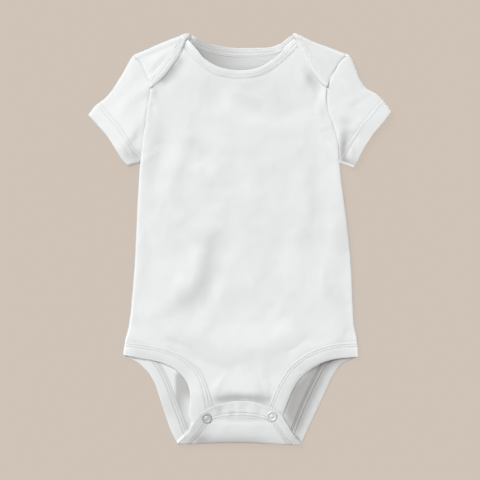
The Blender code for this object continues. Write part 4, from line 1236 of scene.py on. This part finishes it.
# A rib band: a closed strip round its middle surface, with rounded edges and a soft crown.
# The runs are the stretches of its rows that are stitched.
def bandPiece(name, grid, values, material, shadeAt, runs):
    rows, columns = grid.shape[:2]
    uv = arcLengths(grid)
    uv = np.stack([uv[..., 1], uv[..., 0]], axis=-1)
    run = np.linalg.norm(np.diff(grid, axis=1), axis=-1)
    fromSeam = np.concatenate([np.zeros((rows, 1)), np.cumsum(run, axis=1)], axis=1)
    fromEdge = fromSeam[:, -1:] - fromSeam
    near = np.minimum(fromSeam / bandLooks["seamRound"], fromEdge / bandLooks["edgeRound"])
    near = np.minimum(near, 1.0)
    half = cloth["bandWall"] / 2 * np.sqrt(np.maximum(0.0, 1.0 - (1.0 - near) ** 2))
    share = fromSeam / np.maximum(fromSeam[:, -1:], 1e-6)
    relief = bandLooks["crown"] * np.sin(np.pi * share)
    measure = share * values["width"]
    for distance in values["stitches"]:
        relief = relief - bandLooks["stitchDip"] * bell(measure - distance, bandLooks["dipWidth"])
    relief = relief + bandLooks["ripple"] * softNoise(uv * (1.0, 0.35), 3.1, 51)
    relief = relief * near
    normal = gridNormals(grid)
    top = grid + normal * (half + relief)[..., None]
    low = grid - normal * (half + relief * 0.5)[..., None]
    ring = np.concatenate([top, low[:, -2:0:-1]], axis=1)
    ringUv = np.concatenate([uv, uv[:, -2:0:-1]], axis=1)
    size = ring.shape[1]
    faces = []
    for i in range(rows - 1):
        for j in range(size):
            k = (j + 1) % size
            faces.append((i * size + j, i * size + k, (i + 1) * size + k, (i + 1) * size + j))
    for i, flip in ((0, True), (rows - 1, False)):
        for j in range(columns - 1):
            a, b = j, j + 1
            c, d = (size - b) % size, (size - a) % size
            if b == columns - 1:
                c = b
            corners = [i * size + p for p in (a, b, c, d)]
            corners = list(dict.fromkeys(corners))
            if len(corners) > 2:
                faces.append(tuple(corners[::-1] if flip else corners))
    shade = shadeAt(grid, share)
    marks = {
        "shade": np.concatenate([shade, shade[:, -2:0:-1]], axis=1),
        "fromSeam": np.concatenate([measure, measure[:, -2:0:-1]], axis=1),
    }
    addRuns(np.dstack([top, shade]), np.dstack([low, shade]), measure, values["stitches"], runs)
    return makePiece(name, ring.reshape(-1, 3), faces, ringUv.reshape(-1, 2), marks, material)


# A line on the band's surface at a distance from its seam, with the painted shade there.
def lineOnBand(surface, fromSeam, distance, proud):
    line = []
    for points, run in zip(surface, fromSeam):
        line.append([np.interp(distance, run, points[:, axis]) for axis in range(4)])
    line = np.array(line)
    line[:, 2] += proud
    return line


stitchRuns = []  # every sewn line, gathered here and stitched at the end

neckColumns = bandColumns(8.6)
legColumns = bandColumns(14.6)


def addRuns(top, low, fromSeam, distances, runs):
    for distance in distances:
        for surface, proud in ((top, 0.02), (low, -0.02)):
            line = lineOnBand(surface, fromSeam, distance, proud)
            stitchRuns.extend(line[first:last] for first, last in runs)


frontNeckBand = {
    "sections": 96,
    "width": 8.6,
    "stitches": (1.5, 3.7),
    # painted light beside the laps, as darkness below zero
    "lights": [
        (-50.0, 195.0, 6.0, 8.0, -0.1), (-52.5, 199.5, 3.5, 3.5, -0.5), (51.0, 195.0, 6.0, 8.0, -0.12),
    ],
}


# Painted light on the front neck band: a little all over, more beside the laps.
def neckFrontShade(grid, share):
    return 1.04 * spotShade(grid[..., :2], frontNeckBand["lights"])


def makeFrontNeckBand():
    rows = sections("frontNeck", steps(frontNeckBand["sections"]))
    grid = bandRows(rows, frontHeight, neckColumns)
    return bandPiece("frontNeckBand", grid, frontNeckBand, neckRib, neckFrontShade, [(0, None)])


backNeckBand = {
    "sections": 90,
    "lapSections": 44,
    "width": 8.6,
    "stitches": (1.5, 3.7),
    "edgeSwell": {"left": -0.3, "right": -0.4},
    # painted light at the left neck point and where the front band crosses on the right: x, y, reach along
    # x and y, how strong
    "lights": [(-49.5, 202.0, 4.0, 4.0, 0.75), (38.5, 189.0, 6.0, 5.0, 0.15)],
}


def lapBandRows(name, columns):
    shares = steps(backNeckBand["lapSections"])
    rows = sections("lap" + name.capitalize(), shares)
    edge, seam = rows[:, None, :2], rows[:, None, 2:]
    flat = seam + (edge - seam) * columns[None, :, None]
    level = np.array([lapLevels(share)[1] for share in shares])[:, None] + np.zeros_like(flat[..., 0])
    touching = (cloth["wall"] + cloth["bandWall"]) / 2
    under = mix(cloth["bandWall"] + 0.12, touching, ease((shares - 0.1) / 0.2))
    rest = frontHeight(flat) + under[:, None] + laps["gap"]
    down = mix(0.6, 1.0, ease(shares / 0.25))[:, None] * columns[None, :] ** 3.0
    return atLevel(flat, mix(level, np.minimum(rest, level), down))[::-1]


# Painted shade on the inner side of the back's neck band, darkest beside the left lap; painted light on
# its parts on the laps, and painted edge tones where it turns.
def neckInside(grid, share):
    x, level = grid[..., 0], grid[..., 2]
    dark = 0.36 * (1.0 - ease((x + 50.0) / 66.0)) * ease((x + 52.0) / 5.0)
    onLeft = mix(1.02, 1.16, ease(share / 0.3))
    turned = np.where(x < 0, paintedEdgeTone["lapLeft"], paintedEdgeTone["lapRight"])
    onLap = mix(np.where(x < 0, onLeft, 1.07), turned * 1.04, ease((grid[..., 1] - 201.0) / 3.0))
    for *place, light in backNeckBand["lights"]:
        dark = dark - light * spot(grid, *place)
    return np.where(level < 2.4, 1.0 - dark, onLap)


def makeBackNeckBand():
    rows = sections("backNeck", steps(backNeckBand["sections"]))
    low = cloth["backBandLevel"]
    outLeft = outwardOf(tipOf("left"), neckPointOf("left"))
    outRight = outwardOf(neckPointOf("right"), tipOf("right"))
    middle = bandRows(rows, backBandHeight, neckColumns)
    middle[0, :, 2] = low
    middle[-1, :, 2] = low
    left, right = lapBandRows("left", neckColumns), lapBandRows("right", neckColumns)[::-1]
    atSeam, atEdge = laps["swell"], backNeckBand["edgeSwell"]
    past = {
        name: mix(atSeam[name][-1], atEdge[name], neckColumns**1.5) + 0.6 * np.sin(np.pi * neckColumns)
        for name in ("left", "right")
    }
    grid = np.concatenate(
        [
            left,
            bandTurn(rows[0], outLeft, low, left[-1, :, 2], neckColumns, past["left"][:, None])[::-1],
            middle,
            bandTurn(rows[-1], outRight, low, right[0, :, 2], neckColumns, past["right"][:, None]),
            right,
        ]
    )
    lap, turn, back = backNeckBand["lapSections"], counts["turnRows"] - 1, backNeckBand["sections"] + 1
    middleStart = lap + 1 + turn
    rightStart = middleStart + back + turn
    runs = [(3, lap - 2), (middleStart + 3, middleStart + back - 3), (rightStart + 3, -3)]
    return bandPiece("backNeckBand", grid, backNeckBand, neckRib, neckInside, runs)


frontLegBand = {
    "endLevel": 2.1,
    "width": 14.6,
    "stitches": (2.2, 4.5),
    # painted light at the ends and beside the flap
    "lights": [
        (-108.0, -110.0, 18.0, 11.0, -0.05), (-113.0, -109.0, 7.0, 8.0, -0.15),
        (117.0, -109.0, 5.0, 8.0, -0.12), (-44.0, -166.0, 13.0, 26.0, -0.07),
        (-38.0, -139.0, 8.0, 12.0, -0.07), (-50.0, -184.0, 8.0, 8.0, -0.1),
    ],
}


# Painted tone on the front leg band: painted shade beside the seam, painted light at the right free edge,
# and the painted light of its spots.
def frontLegShade(grid, share):
    edge = 1.0 + 0.3 * ease((share - 0.93) / 0.07) * (grid[..., 0] > 0)
    return spotShade(grid[..., :2], frontLegBand["lights"]) * mix(0.95, 1.0, ease(share / 0.15)) * edge


def makeFrontLegBand():
    grid = bandRows(frontLegSections(), frontHeight, legColumns)
    for end in (0, -1):  # its ends come down on the back's band at the side seams
        grid[end, :, 2] = np.minimum(grid[end, :, 2], frontLegBand["endLevel"])
    return bandPiece("frontLegBand", grid, frontLegBand, frontLegRib, frontLegShade, [(3, -3)])


backLegBand = {
    "leg": 90,
    "flapSide": 22,
    "flapEnd": 60,
    "foldBulge": -0.8,
    "width": 14.6,
    "stitches": (2.4, 5.0),
    # painted shade: x, y, reach along x and y, how dark
    "shadows": [(-75.0, -169.0, 12.0, 14.0, 0.11)],
}


# Painted shade: the inner side of the right leg's band lies in the shade, less so at its free edge and
# most at its seam; the left leg's band and the flap's part get painted tone too.
def legInside(grid, share):
    x, y, level = grid[..., 0], grid[..., 1], grid[..., 2]
    upper = ease((y + 134.0) / 12.0)
    right = mix(mix(0.58, 0.5, upper), mix(0.89, 0.74, upper), ease((share - 0.35) / 0.5))
    right = right * (1 - 0.42 * bell(share, 0.09))
    inner = np.where(x > 0, mix(1.0, right, ease((x - 38.0) / 8.0)), mix(0.94, 1.07, share))
    inner = inner * spotShade(grid[..., :2], backLegBand["shadows"]) * contactLight(grid[..., :2])
    onFlap = flapShade(grid[..., :2]) * mix(1.0, 0.93, ease((share - 0.45) / 0.5))
    onFlap = mix(onFlap, 1.0, ease((cloth["foldLevelFlap"] - level) / 1.6))
    return np.where(level < 2.2, inner, onFlap)


def makeBackLegBand():
    left = sections("backLegLeft", steps(backLegBand["leg"]))
    right = sections("backLegRight", steps(backLegBand["leg"]))
    flap = joined(
        sections("flapLeft", steps(backLegBand["flapSide"])),
        sections("flapEnd", steps(backLegBand["flapEnd"])),
        sections("flapRight", steps(backLegBand["flapSide"]))[::-1],
    )
    down = np.array([0.0, -1.0])
    low, high = cloth["backBandLevel"], cloth["foldLevelFlap"]
    bulge = backLegBand["foldBulge"]
    leftLeg = bandRows(left, backBandHeight, legColumns, "back")
    rightLeg = bandRows(right, backBandHeight, legColumns, "back")
    leftLeg[-1, :, 2] = low
    rightLeg[0, :, 2] = low
    grid = np.concatenate(
        [
            leftLeg,
            bandTurn(left[-1], down, low, high, legColumns, bulge),
            bandRows(flap, flapHeight, legColumns),
            bandTurn(right[0], down, low, high, legColumns, bulge)[::-1],
            rightLeg,
        ]
    )
    turn = counts["turnRows"] - 1
    flapStart = len(left) + turn
    rightStart = flapStart + len(flap) + turn
    runs = [(2, len(left) - 1), (flapStart + 1, flapStart + len(flap) - 1), (rightStart + 1, -2)]
    return bandPiece("backLegBand", grid, backLegBand, backLegRib, legInside, runs)


neckFrontPiece = makeFrontNeckBand()
neckBackPiece = makeBackNeckBand()
legFrontPiece = makeFrontLegBand()
legBackPiece = makeBackLegBand()
print("bands made")

# Sleeves.

sleeves = {
    "rows": 60,
    "around": 58,
    "tuck": 0.6,
    "tuckDrop": 0.3,
    "seamDip": (0.35, 1.3),  # how deep and how wide
    "foldInset": 2.2,
    "underInset": 1.9,
    "turnedRows": 8,
    "capSwell": 1.3,
    "puff": 0.9,
    "hem": 15.0,
    "hemStep": 0.28,
    "hemStitches": (12.9, 16.2),
    "left": {
        # painted light on the left sleeve
        "tone": 1.07,
        "upper": [
            (-108.9, 180.3), (-113.5, 170.0), (-120.8, 159.0), (-127.4, 149.1), (-134.9, 140.9),
            (-143.9, 133.7), (-151.7, 124.0),
        ],
        "cuff": [(-142.9, 114.8), (-132.7, 103.0), (-124.1, 89.8), (-116.8, 78.8)],
        "under": [(-99.8, 77.4), (-106.0, 74.9), (-111.6, 73.1)],
        "creases": [
            (4, 6, [(-100.0, 116.0, 0.3), (-108.0, 104.0, 0.7), (-118.0, 92.0, 0.5)]),
            (8, 6, [(-98.0, 116.0, -0.2), (-103.0, 100.0, -0.8), (-107.0, 82.0, -1.0)]),
            (2, 2, [(-124.0, 105.0, -0.1), (-117.0, 95.0, -0.5), (-110.0, 83.0, -0.5)]),
            (2, 2, [(-116.0, 106.0, -0.1), (-110.0, 97.0, -0.4), (-104.0, 86.0, -0.3)]),
            (6, 6, [(-98.0, 150.0, 0.3), (-112.0, 138.0, 0.5), (-124.0, 122.0, 0.2)]),
            (4, 4, [(-104.0, 172.0, 0.2), (-112.0, 158.0, 0.4), (-124.0, 146.0, 0.2)]),
        ],
    },
    "right": {
        # painted light, a little
        "tone": 1.01,
        "upper": [
            (106.0, 183.0), (110.2, 179.7), (116.2, 168.3), (120.9, 158.3), (126.7, 150.4),
            (136.7, 144.8), (144.3, 137.3), (151.9, 126.9),
        ],
        "cuff": [(143.9, 117.2), (133.7, 105.4), (123.8, 90.5), (117.4, 78.7)],
        "under": [(99.8, 77.8), (106.4, 74.2), (112.8, 71.4)],
        "creases": [
            (5, 5, [(98.0, 112.0, 0.2), (106.0, 109.0, 0.5), (116.0, 113.0, 0.4), (124.0, 119.0, 0.1)]),
            (7, 5, [(105.0, 76.0, -1.6), (108.0, 90.0, -1.9), (110.0, 104.0, -1.0)]),
            (3, 4, [(99.0, 80.0, 0.7), (99.0, 92.0, 0.9), (99.0, 104.0, 0.5)]),
            (2, 2, [(104.0, 84.0, -0.2), (110.0, 92.0, -0.5), (118.0, 103.0, -0.2)]),
            (2, 2, [(102.0, 89.0, -0.2), (107.0, 98.0, -0.4)]),
            (4, 5, [(127.0, 147.0, 0.5), (117.0, 140.0, 0.6), (106.0, 138.0, 0.2)]),
            (4, 4, [(124.0, 142.0, -0.5), (114.0, 134.0, -0.4)]),
            (4, 4, [(98.0, 166.0, 0.2), (106.0, 156.0, 0.4), (112.0, 144.0, 0.2)]),
        ],
    },
    "unevenness": ((13.0, 0.22, 61), (6.0, 0.09, 62)),
    # painted shade: x, y, reach along x and y, how dark (below zero: painted light)
    "shadows": [
        (108.0, 75.0, 9.0, 7.0, 0.24), (103.0, 88.0, 4.0, 12.0, 0.3), (113.0, 88.0, 4.0, 10.0, 0.15),
        (104.0, 103.0, 3.5, 8.0, 0.16), (104.5, 117.5, 8.0, 5.0, 0.15), (106.0, 77.0, 5.0, 4.0, 0.18),
        (120.0, 139.0, 8.0, 8.0, -0.03), (-97.0, 128.0, 5.0, 22.0, -0.07),
        (-92.0, 150.0, 5.0, 8.0, -0.05), (-108.0, 84.0, 10.0, 8.0, 0.24), (-103.5, 82.0, 4.0, 7.0, 0.1),
    ],
}


rowShares, aroundShares = steps(sleeves["rows"]), steps(sleeves["around"])


# The top wall's level from the underarm (0) to the shoulder fold (1), softer away from the seam.
def armLevel(share, down):
    onFront = mix(cloth["underarmLevel"], cloth["frontLevel"] + 0.35, ease(share / 0.25))
    onLap = mix(cloth["tipLevelLap"], cloth["foldLevelLap"], ease((share - 0.78) / 0.22))
    start = mix(0.64, 0.58, down)
    return mix(onFront, onLap, ease((share - start) / mix(0.08, 0.3, down)))


# The sleeve laid flat: rows from the armhole to the cuff, each from the shoulder fold to the underarm.
def sleeveOutline(name, sign):
    values = sleeves[name]
    start = smoothLine(armholeLines[name][::-1], aroundShares) - (sign * sleeves["tuck"], 0.0)
    upperMarks = inset(np.array(values["upper"]), -sleeves["foldInset"] * sign)
    upperMarks[0] = start[0]
    underMarks = inset(np.array(values["under"]), sleeves["underInset"] * sign)
    underMarks[0] = start[-1]
    upper = smoothLine(upperMarks, rowShares)
    under = smoothLine(underMarks, rowShares)
    cuff = smoothLine(np.vstack([upper[-1:], values["cuff"], under[-1:]]), aroundShares)
    return coonsGrid(start, cuff, upper, under, aroundShares, rowShares), upper, cuff


# The top wall's level along a row; w is how far down the sleeve the row lies.
def sleeveLevel(name, row, w, fromCuff):
    share = 1.0 - aroundShares
    level = np.array([armLevel(s, min(1.0, w * 2.5)) for s in share])
    level = mix(level, cloth["cuffLevel"], ease(w * 1.4))
    level = level + sleeves["puff"] * np.sin(np.pi * aroundShares) * math.sin(math.pi * w)
    soft = foldHeights(row, sleeves[name]["creases"]) + uneven(row, sleeves["unevenness"])
    level = level + soft * np.sin(np.pi * np.clip(aroundShares, 0.03, 0.97)) ** 0.35
    dip = seamDip(row, armholeLines[name], *sleeves["seamDip"]) * (1 - ease((w - 0.3) * 3))
    level = level + dip * mix(1.0, 0.8, ease((share - 0.6) / 0.08))
    drop = sleeves["tuckDrop"] * (1.0 - ease(w * 30.0))
    level = level - drop * mix(1.0, 0.45, ease((share - 0.66) / 0.06))
    return level + sleeves["hemStep"] * (1.0 - ease((fromCuff - sleeves["hem"] - 0.4) / 1.0))


# Sewn lines round the cuff, on the top and on the table side.
def addCuffRuns(toned):
    count = len(aroundShares)
    lowStart = count + counts["turnRows"] - 1
    lowSide = toned[:, lowStart : lowStart + count][:, ::-1]
    half = cloth["wall"] / 2
    for surface, proud in ((toned[:, :count], half + 0.03), (lowSide, -half + 0.02)):
        for distance in sleeves["hemStitches"]:
            line = []
            for j in range(1, count - 1):
                column = surface[::-1, j]
                gaps = np.linalg.norm(np.diff(column[:, :3], axis=0), axis=1)
                gone = np.concatenate([[0.0], np.cumsum(gaps)])
                if gone[-1] >= distance + 1.5:
                    line.append([np.interp(distance, gone, column[:, axis]) for axis in range(4)])
            line = np.array(line)
            line[:, 2] += proud
            stitchRuns.append(line)


def sleevePiece(name):
    sign = -1.0 if name == "left" else 1.0
    flat, upper, cuff = sleeveOutline(name, sign)
    outs = inset(upper, sign)
    atShoulder = outwardOf(tipOf(name), neckPointOf(name))
    turn = counts["turnRows"] - 1
    rings, hems = [], []
    for k, row in enumerate(flat):
        w = rowShares[k]
        fromCuff = nearLine(row, cuff)[0]
        level = sleeveLevel(name, row, w, fromCuff)
        outLow = np.array([sign * 0.1 - sign * 0.3 * w, -1.0])
        outLow /= np.linalg.norm(outLow)
        outTop = atShoulder if k == 0 else (outs[k] - upper[k])
        if 0 < k < sleeves["turnedRows"]:
            outTop = mix(atShoulder, outTop, ease(k / sleeves["turnedRows"]))
        outTop = outTop / np.linalg.norm(outTop)
        top = atLevel(row, level)
        lowTurn = turnRows(row[-1:], outLow, cloth["backLevel"], top[-1, 2])
        swell = 0.5 + sleeves["capSwell"] * (1.0 - ease(w / 0.3))
        topTurn = turnRows(row[:1], outTop, cloth["backLevel"], top[0, 2], swell)
        lowLevel = cloth["backLevel"] + 0.05 * (1 + softNoise(row, 9.0, 63))
        lowLevel[0] = lowLevel[-1] = cloth["backLevel"]
        low = atLevel(row, lowLevel)[::-1]
        rings.append(np.vstack([top, *lowTurn[::-1], low, *topTurn, top[:1]]))
        atUnder, atFold = fromCuff[-1].repeat(turn), fromCuff[0].repeat(turn)
        hems.append(np.concatenate([fromCuff, atUnder, fromCuff[::-1], atFold, fromCuff[:1]]))
    grid = np.array(rings)
    # painted light and shade: hollows, spots, the sleeve's painted tone and its turned edges
    turned = paintedEdgeTone["sleeve" + name.capitalize()]
    shade = np.full(grid.shape[:2], turned)
    topShade = hollowShade(grid[..., 2], 5, 0.04) * spotShade(grid[..., :2], sleeves["shadows"])
    topShade = topShade * sleeves[name]["tone"]
    shade[:, : sleeves["around"]] = topShade[:, : sleeves["around"]]
    shade[:, -counts["turnRows"] - 1 :] = turnTones(topShade[:, 0], turned).T
    title = "sleeve" + name.capitalize()
    piece = clothSheet(title, [grid], [arcLengths(grid)], sleeveJersey, [shade], [np.array(hems)])
    addCuffRuns(np.dstack([grid, shade]))
    return piece


sleeveLeftPiece = sleevePiece("left")
sleeveRightPiece = sleevePiece("right")
print("sleeves made")

# Stitches.

stitches = {"pitch": 2.7, "length": 2.0, "width": 0.34, "height": 0.18}  # in millimetres


def makeStitchTree():
    tree = bpy.data.node_groups.new("sewnStitches", "GeometryNodeTree")
    sockets = [("Lines", "NodeSocketGeometry", "INPUT")]
    sockets += [(part.capitalize(), "NodeSocketFloat", "INPUT") for part in stitches]
    sockets += [("Finish", "NodeSocketMaterial", "INPUT"), ("Stitches", "NodeSocketGeometry", "OUTPUT")]
    for socketName, kind, direction in sockets:
        tree.interface.new_socket(name=socketName, in_out=direction, socket_type=kind)
    given, made = tree.nodes.new("NodeGroupInput"), tree.nodes.new("NodeGroupOutput")
    curve = tree.nodes.new("GeometryNodeMeshToCurve")
    spaced = tree.nodes.new("GeometryNodeResampleCurve")
    spaced.mode = "LENGTH"
    points = tree.nodes.new("GeometryNodeInstanceOnPoints")
    bead = tree.nodes.new("GeometryNodeMeshUVSphere")
    setInputs(bead, {"Segments": 8, "Rings": 6, "Radius": 0.5})
    tangent = tree.nodes.new("GeometryNodeInputTangent")
    turn = tree.nodes.new("FunctionNodeAlignRotationToVector")
    turn.axis = "X"
    size = tree.nodes.new("ShaderNodeCombineXYZ")
    real = tree.nodes.new("GeometryNodeRealizeInstances")
    smooth = tree.nodes.new("GeometryNodeSetShadeSmooth")
    finish = tree.nodes.new("GeometryNodeSetMaterial")
    wireUp(
        tree,
        (given, "Lines", curve, "Mesh"),
        (curve, "Curve", spaced, "Curve"),
        (given, "Pitch", spaced, "Length"),
        (spaced, "Curve", points, "Points"),
        (bead, "Mesh", points, "Instance"),
        (tangent, 0, turn, "Vector"),
        (turn, "Rotation", points, "Rotation"),
        (given, "Length", size, "X"),
        (given, "Width", size, "Y"),
        (given, "Height", size, "Z"),
        (size, 0, points, "Scale"),
        (points, "Instances", real, "Geometry"),
        (real, "Geometry", smooth, "Geometry"),
        (smooth, "Geometry", finish, "Geometry"),
        (given, "Finish", finish, "Material"),
        (finish, "Geometry", made, "Stitches"),
    )
    return tree


def makeStitches(runs):
    edges, start = [], 0
    for run in runs:
        edges += [(start + i, start + i + 1) for i in range(len(run) - 1)]
        start += len(run)
    points = np.vstack(runs)
    mesh = bpy.data.meshes.new("sewnLines")
    mesh.from_pydata((points[:, :3] * mm).tolist(), edges, [])
    # the threads take the painted shade of the cloth they lie on
    tones = mesh.attributes.new("shade", "FLOAT", "POINT")
    tones.data.foreach_set("value", np.minimum(points[:, 3], 1.0).astype(np.float32))
    carrier = placed("sewnLines", mesh)
    tree = makeStitchTree()
    modifier = carrier.modifiers.new("Stitches", "NODES")
    modifier.node_group = tree
    values = {part.capitalize(): size * mm for part, size in stitches.items()}
    values["Finish"] = thread
    for item in tree.interface.items_tree:
        if item.in_out == "INPUT" and item.name in values:
            modifier[item.identifier] = values[item.name]
    graph = bpy.context.evaluated_depsgraph_get()
    sewn = bpy.data.meshes.new_from_object(carrier.evaluated_get(graph))
    bpy.data.objects.remove(carrier)
    if not sewn.uv_layers:
        sewn.uv_layers.new(name="weave")
    sewn.uv_layers[0].name = "weave"
    return placed("stitches", sewn)


stitchPiece = makeStitches(stitchRuns)
print("stitches made", len(stitchPiece.data.polygons))

# Press snaps.

snaps = {
    # the caps are alike: the left one is painted darker and the right one lighter, as painted shade and
    # painted light
    "left": {"centre": (-33.3, -178.3), "ring": (0.45, 0.45, 0.46), "dome": (0.57, 0.58, 0.58)},
    "right": {"centre": (31.8, -176.6), "ring": (0.65, 0.66, 0.67), "dome": (0.68, 0.69, 0.70)},
    # radius and level of the cap's profile, from the middle out and under
    "profile": [
        (0.0, 0.86), (0.7, 0.85), (1.3, 0.78), (1.8, 0.6), (2.15, 0.4), (2.5, 0.34), (3.0, 0.36),
        (3.25, 0.5), (3.5, 0.72), (3.9, 0.86), (4.3, 0.88), (4.75, 0.78), (5.1, 0.55), (5.3, 0.25),
        (5.3, 0.05), (5.1, 0.0), (0.0, 0.0),
    ],
    "level": 6.95,
    "sides": 48,
}


def snapFinish(name, colour, metallic, roughness):
    gloss = {"Coat Weight": 0.15, "Coat Roughness": 0.35, "Metallic": metallic}
    material, tree, shader = newMaterial(name, gloss)
    place = tree.nodes.new("ShaderNodeTexCoord")
    wash = placeGroup(tree, washGroup, {"Tone change": 0.08, "Roughness": roughness})
    tint = tree.nodes.new("ShaderNodeVectorMath")
    tint.operation = "SCALE"
    tint.inputs[0].default_value = colour
    wireUp(
        tree,
        (place, "Object", wash, "Place"),
        (wash, "Tone", tint, "Scale"),
        (tint, 0, shader, "Base Color"),
        (wash, "Roughness", shader, "Roughness"),
    )
    return material


def makeSnap(name):
    values = snaps[name]
    ringFinish = snapFinish("snapRing" + name.capitalize(), values["ring"], 0.15, 0.5)
    domeFinish = snapFinish("snapDome" + name.capitalize(), values["dome"], 0.1, 0.5)
    profile = np.array(snaps["profile"])
    shape = bmesh.new()
    rings = []
    for radius, level in profile:
        if radius == 0.0:
            rings.append([shape.verts.new((0.0, 0.0, level * mm))])
            continue
        angles = np.arange(snaps["sides"]) / snaps["sides"] * 2 * math.pi
        ring = [(radius * mm * math.cos(a), radius * mm * math.sin(a), level * mm) for a in angles]
        rings.append([shape.verts.new(point) for point in ring])
    for k, (upper, lower) in enumerate(zip(rings, rings[1:])):
        for i in range(snaps["sides"]):
            j = (i + 1) % snaps["sides"]
            places = ((upper, i), (lower, i), (lower, j), (upper, j))
            corners = [ring[place % len(ring)] for ring, place in places]
            face = shape.faces.new(list(dict.fromkeys(corners)))
            face.smooth = True
            face.material_index = 1 if profile[k + 1, 0] <= 2.6 and profile[k, 1] > 0 else 0
    bmesh.ops.recalc_face_normals(shape, faces=shape.faces)
    x, y = values["centre"]
    bmesh.ops.translate(shape, verts=shape.verts, vec=(x * mm, y * mm, snaps["level"] * mm))
    mesh = bpy.data.meshes.new("snapCap" + name.capitalize())
    shape.to_mesh(mesh)
    shape.free()
    mesh.materials.append(ringFinish)
    mesh.materials.append(domeFinish)
    piece = placed("snapCap" + name.capitalize(), mesh)
    for part in ("socket", "stud", "back_ring"):
        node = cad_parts[f"snap_{name}_{part}"]
        for slot in node.material_slots:
            slot.material = ringFinish
    return piece


snapLeftPiece = makeSnap("left")
snapRightPiece = makeSnap("right")
print("snaps made")

# Each piece with the solid it replaces and its material slot; the thread replaces none.

pieces = [
    (frontPiece, "front_panel", "cotton_jersey"),
    (backPiece, "back_panel", "cotton_jersey"),
    (sleeveLeftPiece, "sleeve_left", "cotton_jersey"),
    (sleeveRightPiece, "sleeve_right", "cotton_jersey"),
    (neckFrontPiece, "neck_binding_front", "rib_band"),
    (neckBackPiece, "neck_binding_back", "rib_band"),
    (legFrontPiece, "leg_binding_front", "rib_band"),
    (legBackPiece, "leg_binding_back", "rib_band"),
    (snapLeftPiece, "snap_left_cap", "snap_metal"),
    (snapRightPiece, "snap_right_cap", "snap_metal"),
    (stitchPiece, None, "rib_band"),
]
for piece, node, slotName in pieces:
    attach(piece, "root")
    if node:
        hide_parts(node)

# Floor, light and camera.

studio = {
    "floor": (0.624, 0.546, 0.474),
    "floorGlow": 0.9,
    "world": 0.40,
    "sky": (0.98, 0.99, 1.0, 1.0),
    # each sun: power, turn, size in degrees
    "suns": {"key": (3.25, (56.0, 0.0, 222.0), 38.0), "fill": (0.9, (76.0, 0.0, 40.0), 60.0)},
    "height": 3000.0,
    "field": 480.0,
    "centre": (0.0, -0.5),
}


def makeFloor():
    mesh = bpy.data.meshes.new("floor")
    reach = 6.0
    corners = [(-reach, -reach, 0), (reach, -reach, 0), (reach, reach, 0), (-reach, reach, 0)]
    mesh.from_pydata(corners, [], [(0, 1, 2, 3)])
    floor = placed("floor", mesh)
    colour = studio["floor"]
    values = {
        "Base Color": (*(channel * (1 - studio["floorGlow"]) for channel in colour), 1.0),
        "Roughness": 1.0,
        "Specular IOR Level": 0.0,
        "Emission Color": (*colour, 1.0),
        "Emission Strength": studio["floorGlow"],
    }
    mesh.materials.append(newMaterial("paleFloor", values)[0])


def makeLight():
    world = bpy.data.worlds.new("studio")
    world.use_nodes = True
    background = world.node_tree.nodes["Background"]
    setInputs(background, {"Color": studio["sky"], "Strength": studio["world"]})
    bpy.context.scene.world = world
    for name, (power, turn, size) in studio["suns"].items():
        sun = bpy.data.lights.new(name, "SUN")
        sun.energy = power
        sun.angle = math.radians(size)
        placed(name, sun).rotation_euler = [math.radians(angle) for angle in turn]


def makeCamera():
    data = bpy.data.cameras.new("camera")
    data.sensor_width = 36.0
    data.lens = 36.0 * studio["height"] / studio["field"]
    data.clip_start = 0.1
    data.clip_end = 20.0
    camera = placed("camera", data)
    camera.location = (studio["centre"][0] * mm, studio["centre"][1] * mm, studio["height"] * mm)
    bpy.context.scene.camera = camera


makeFloor()
makeLight()
makeCamera()
bpy.context.scene.view_settings.view_transform = "Standard"

print("scene ready")
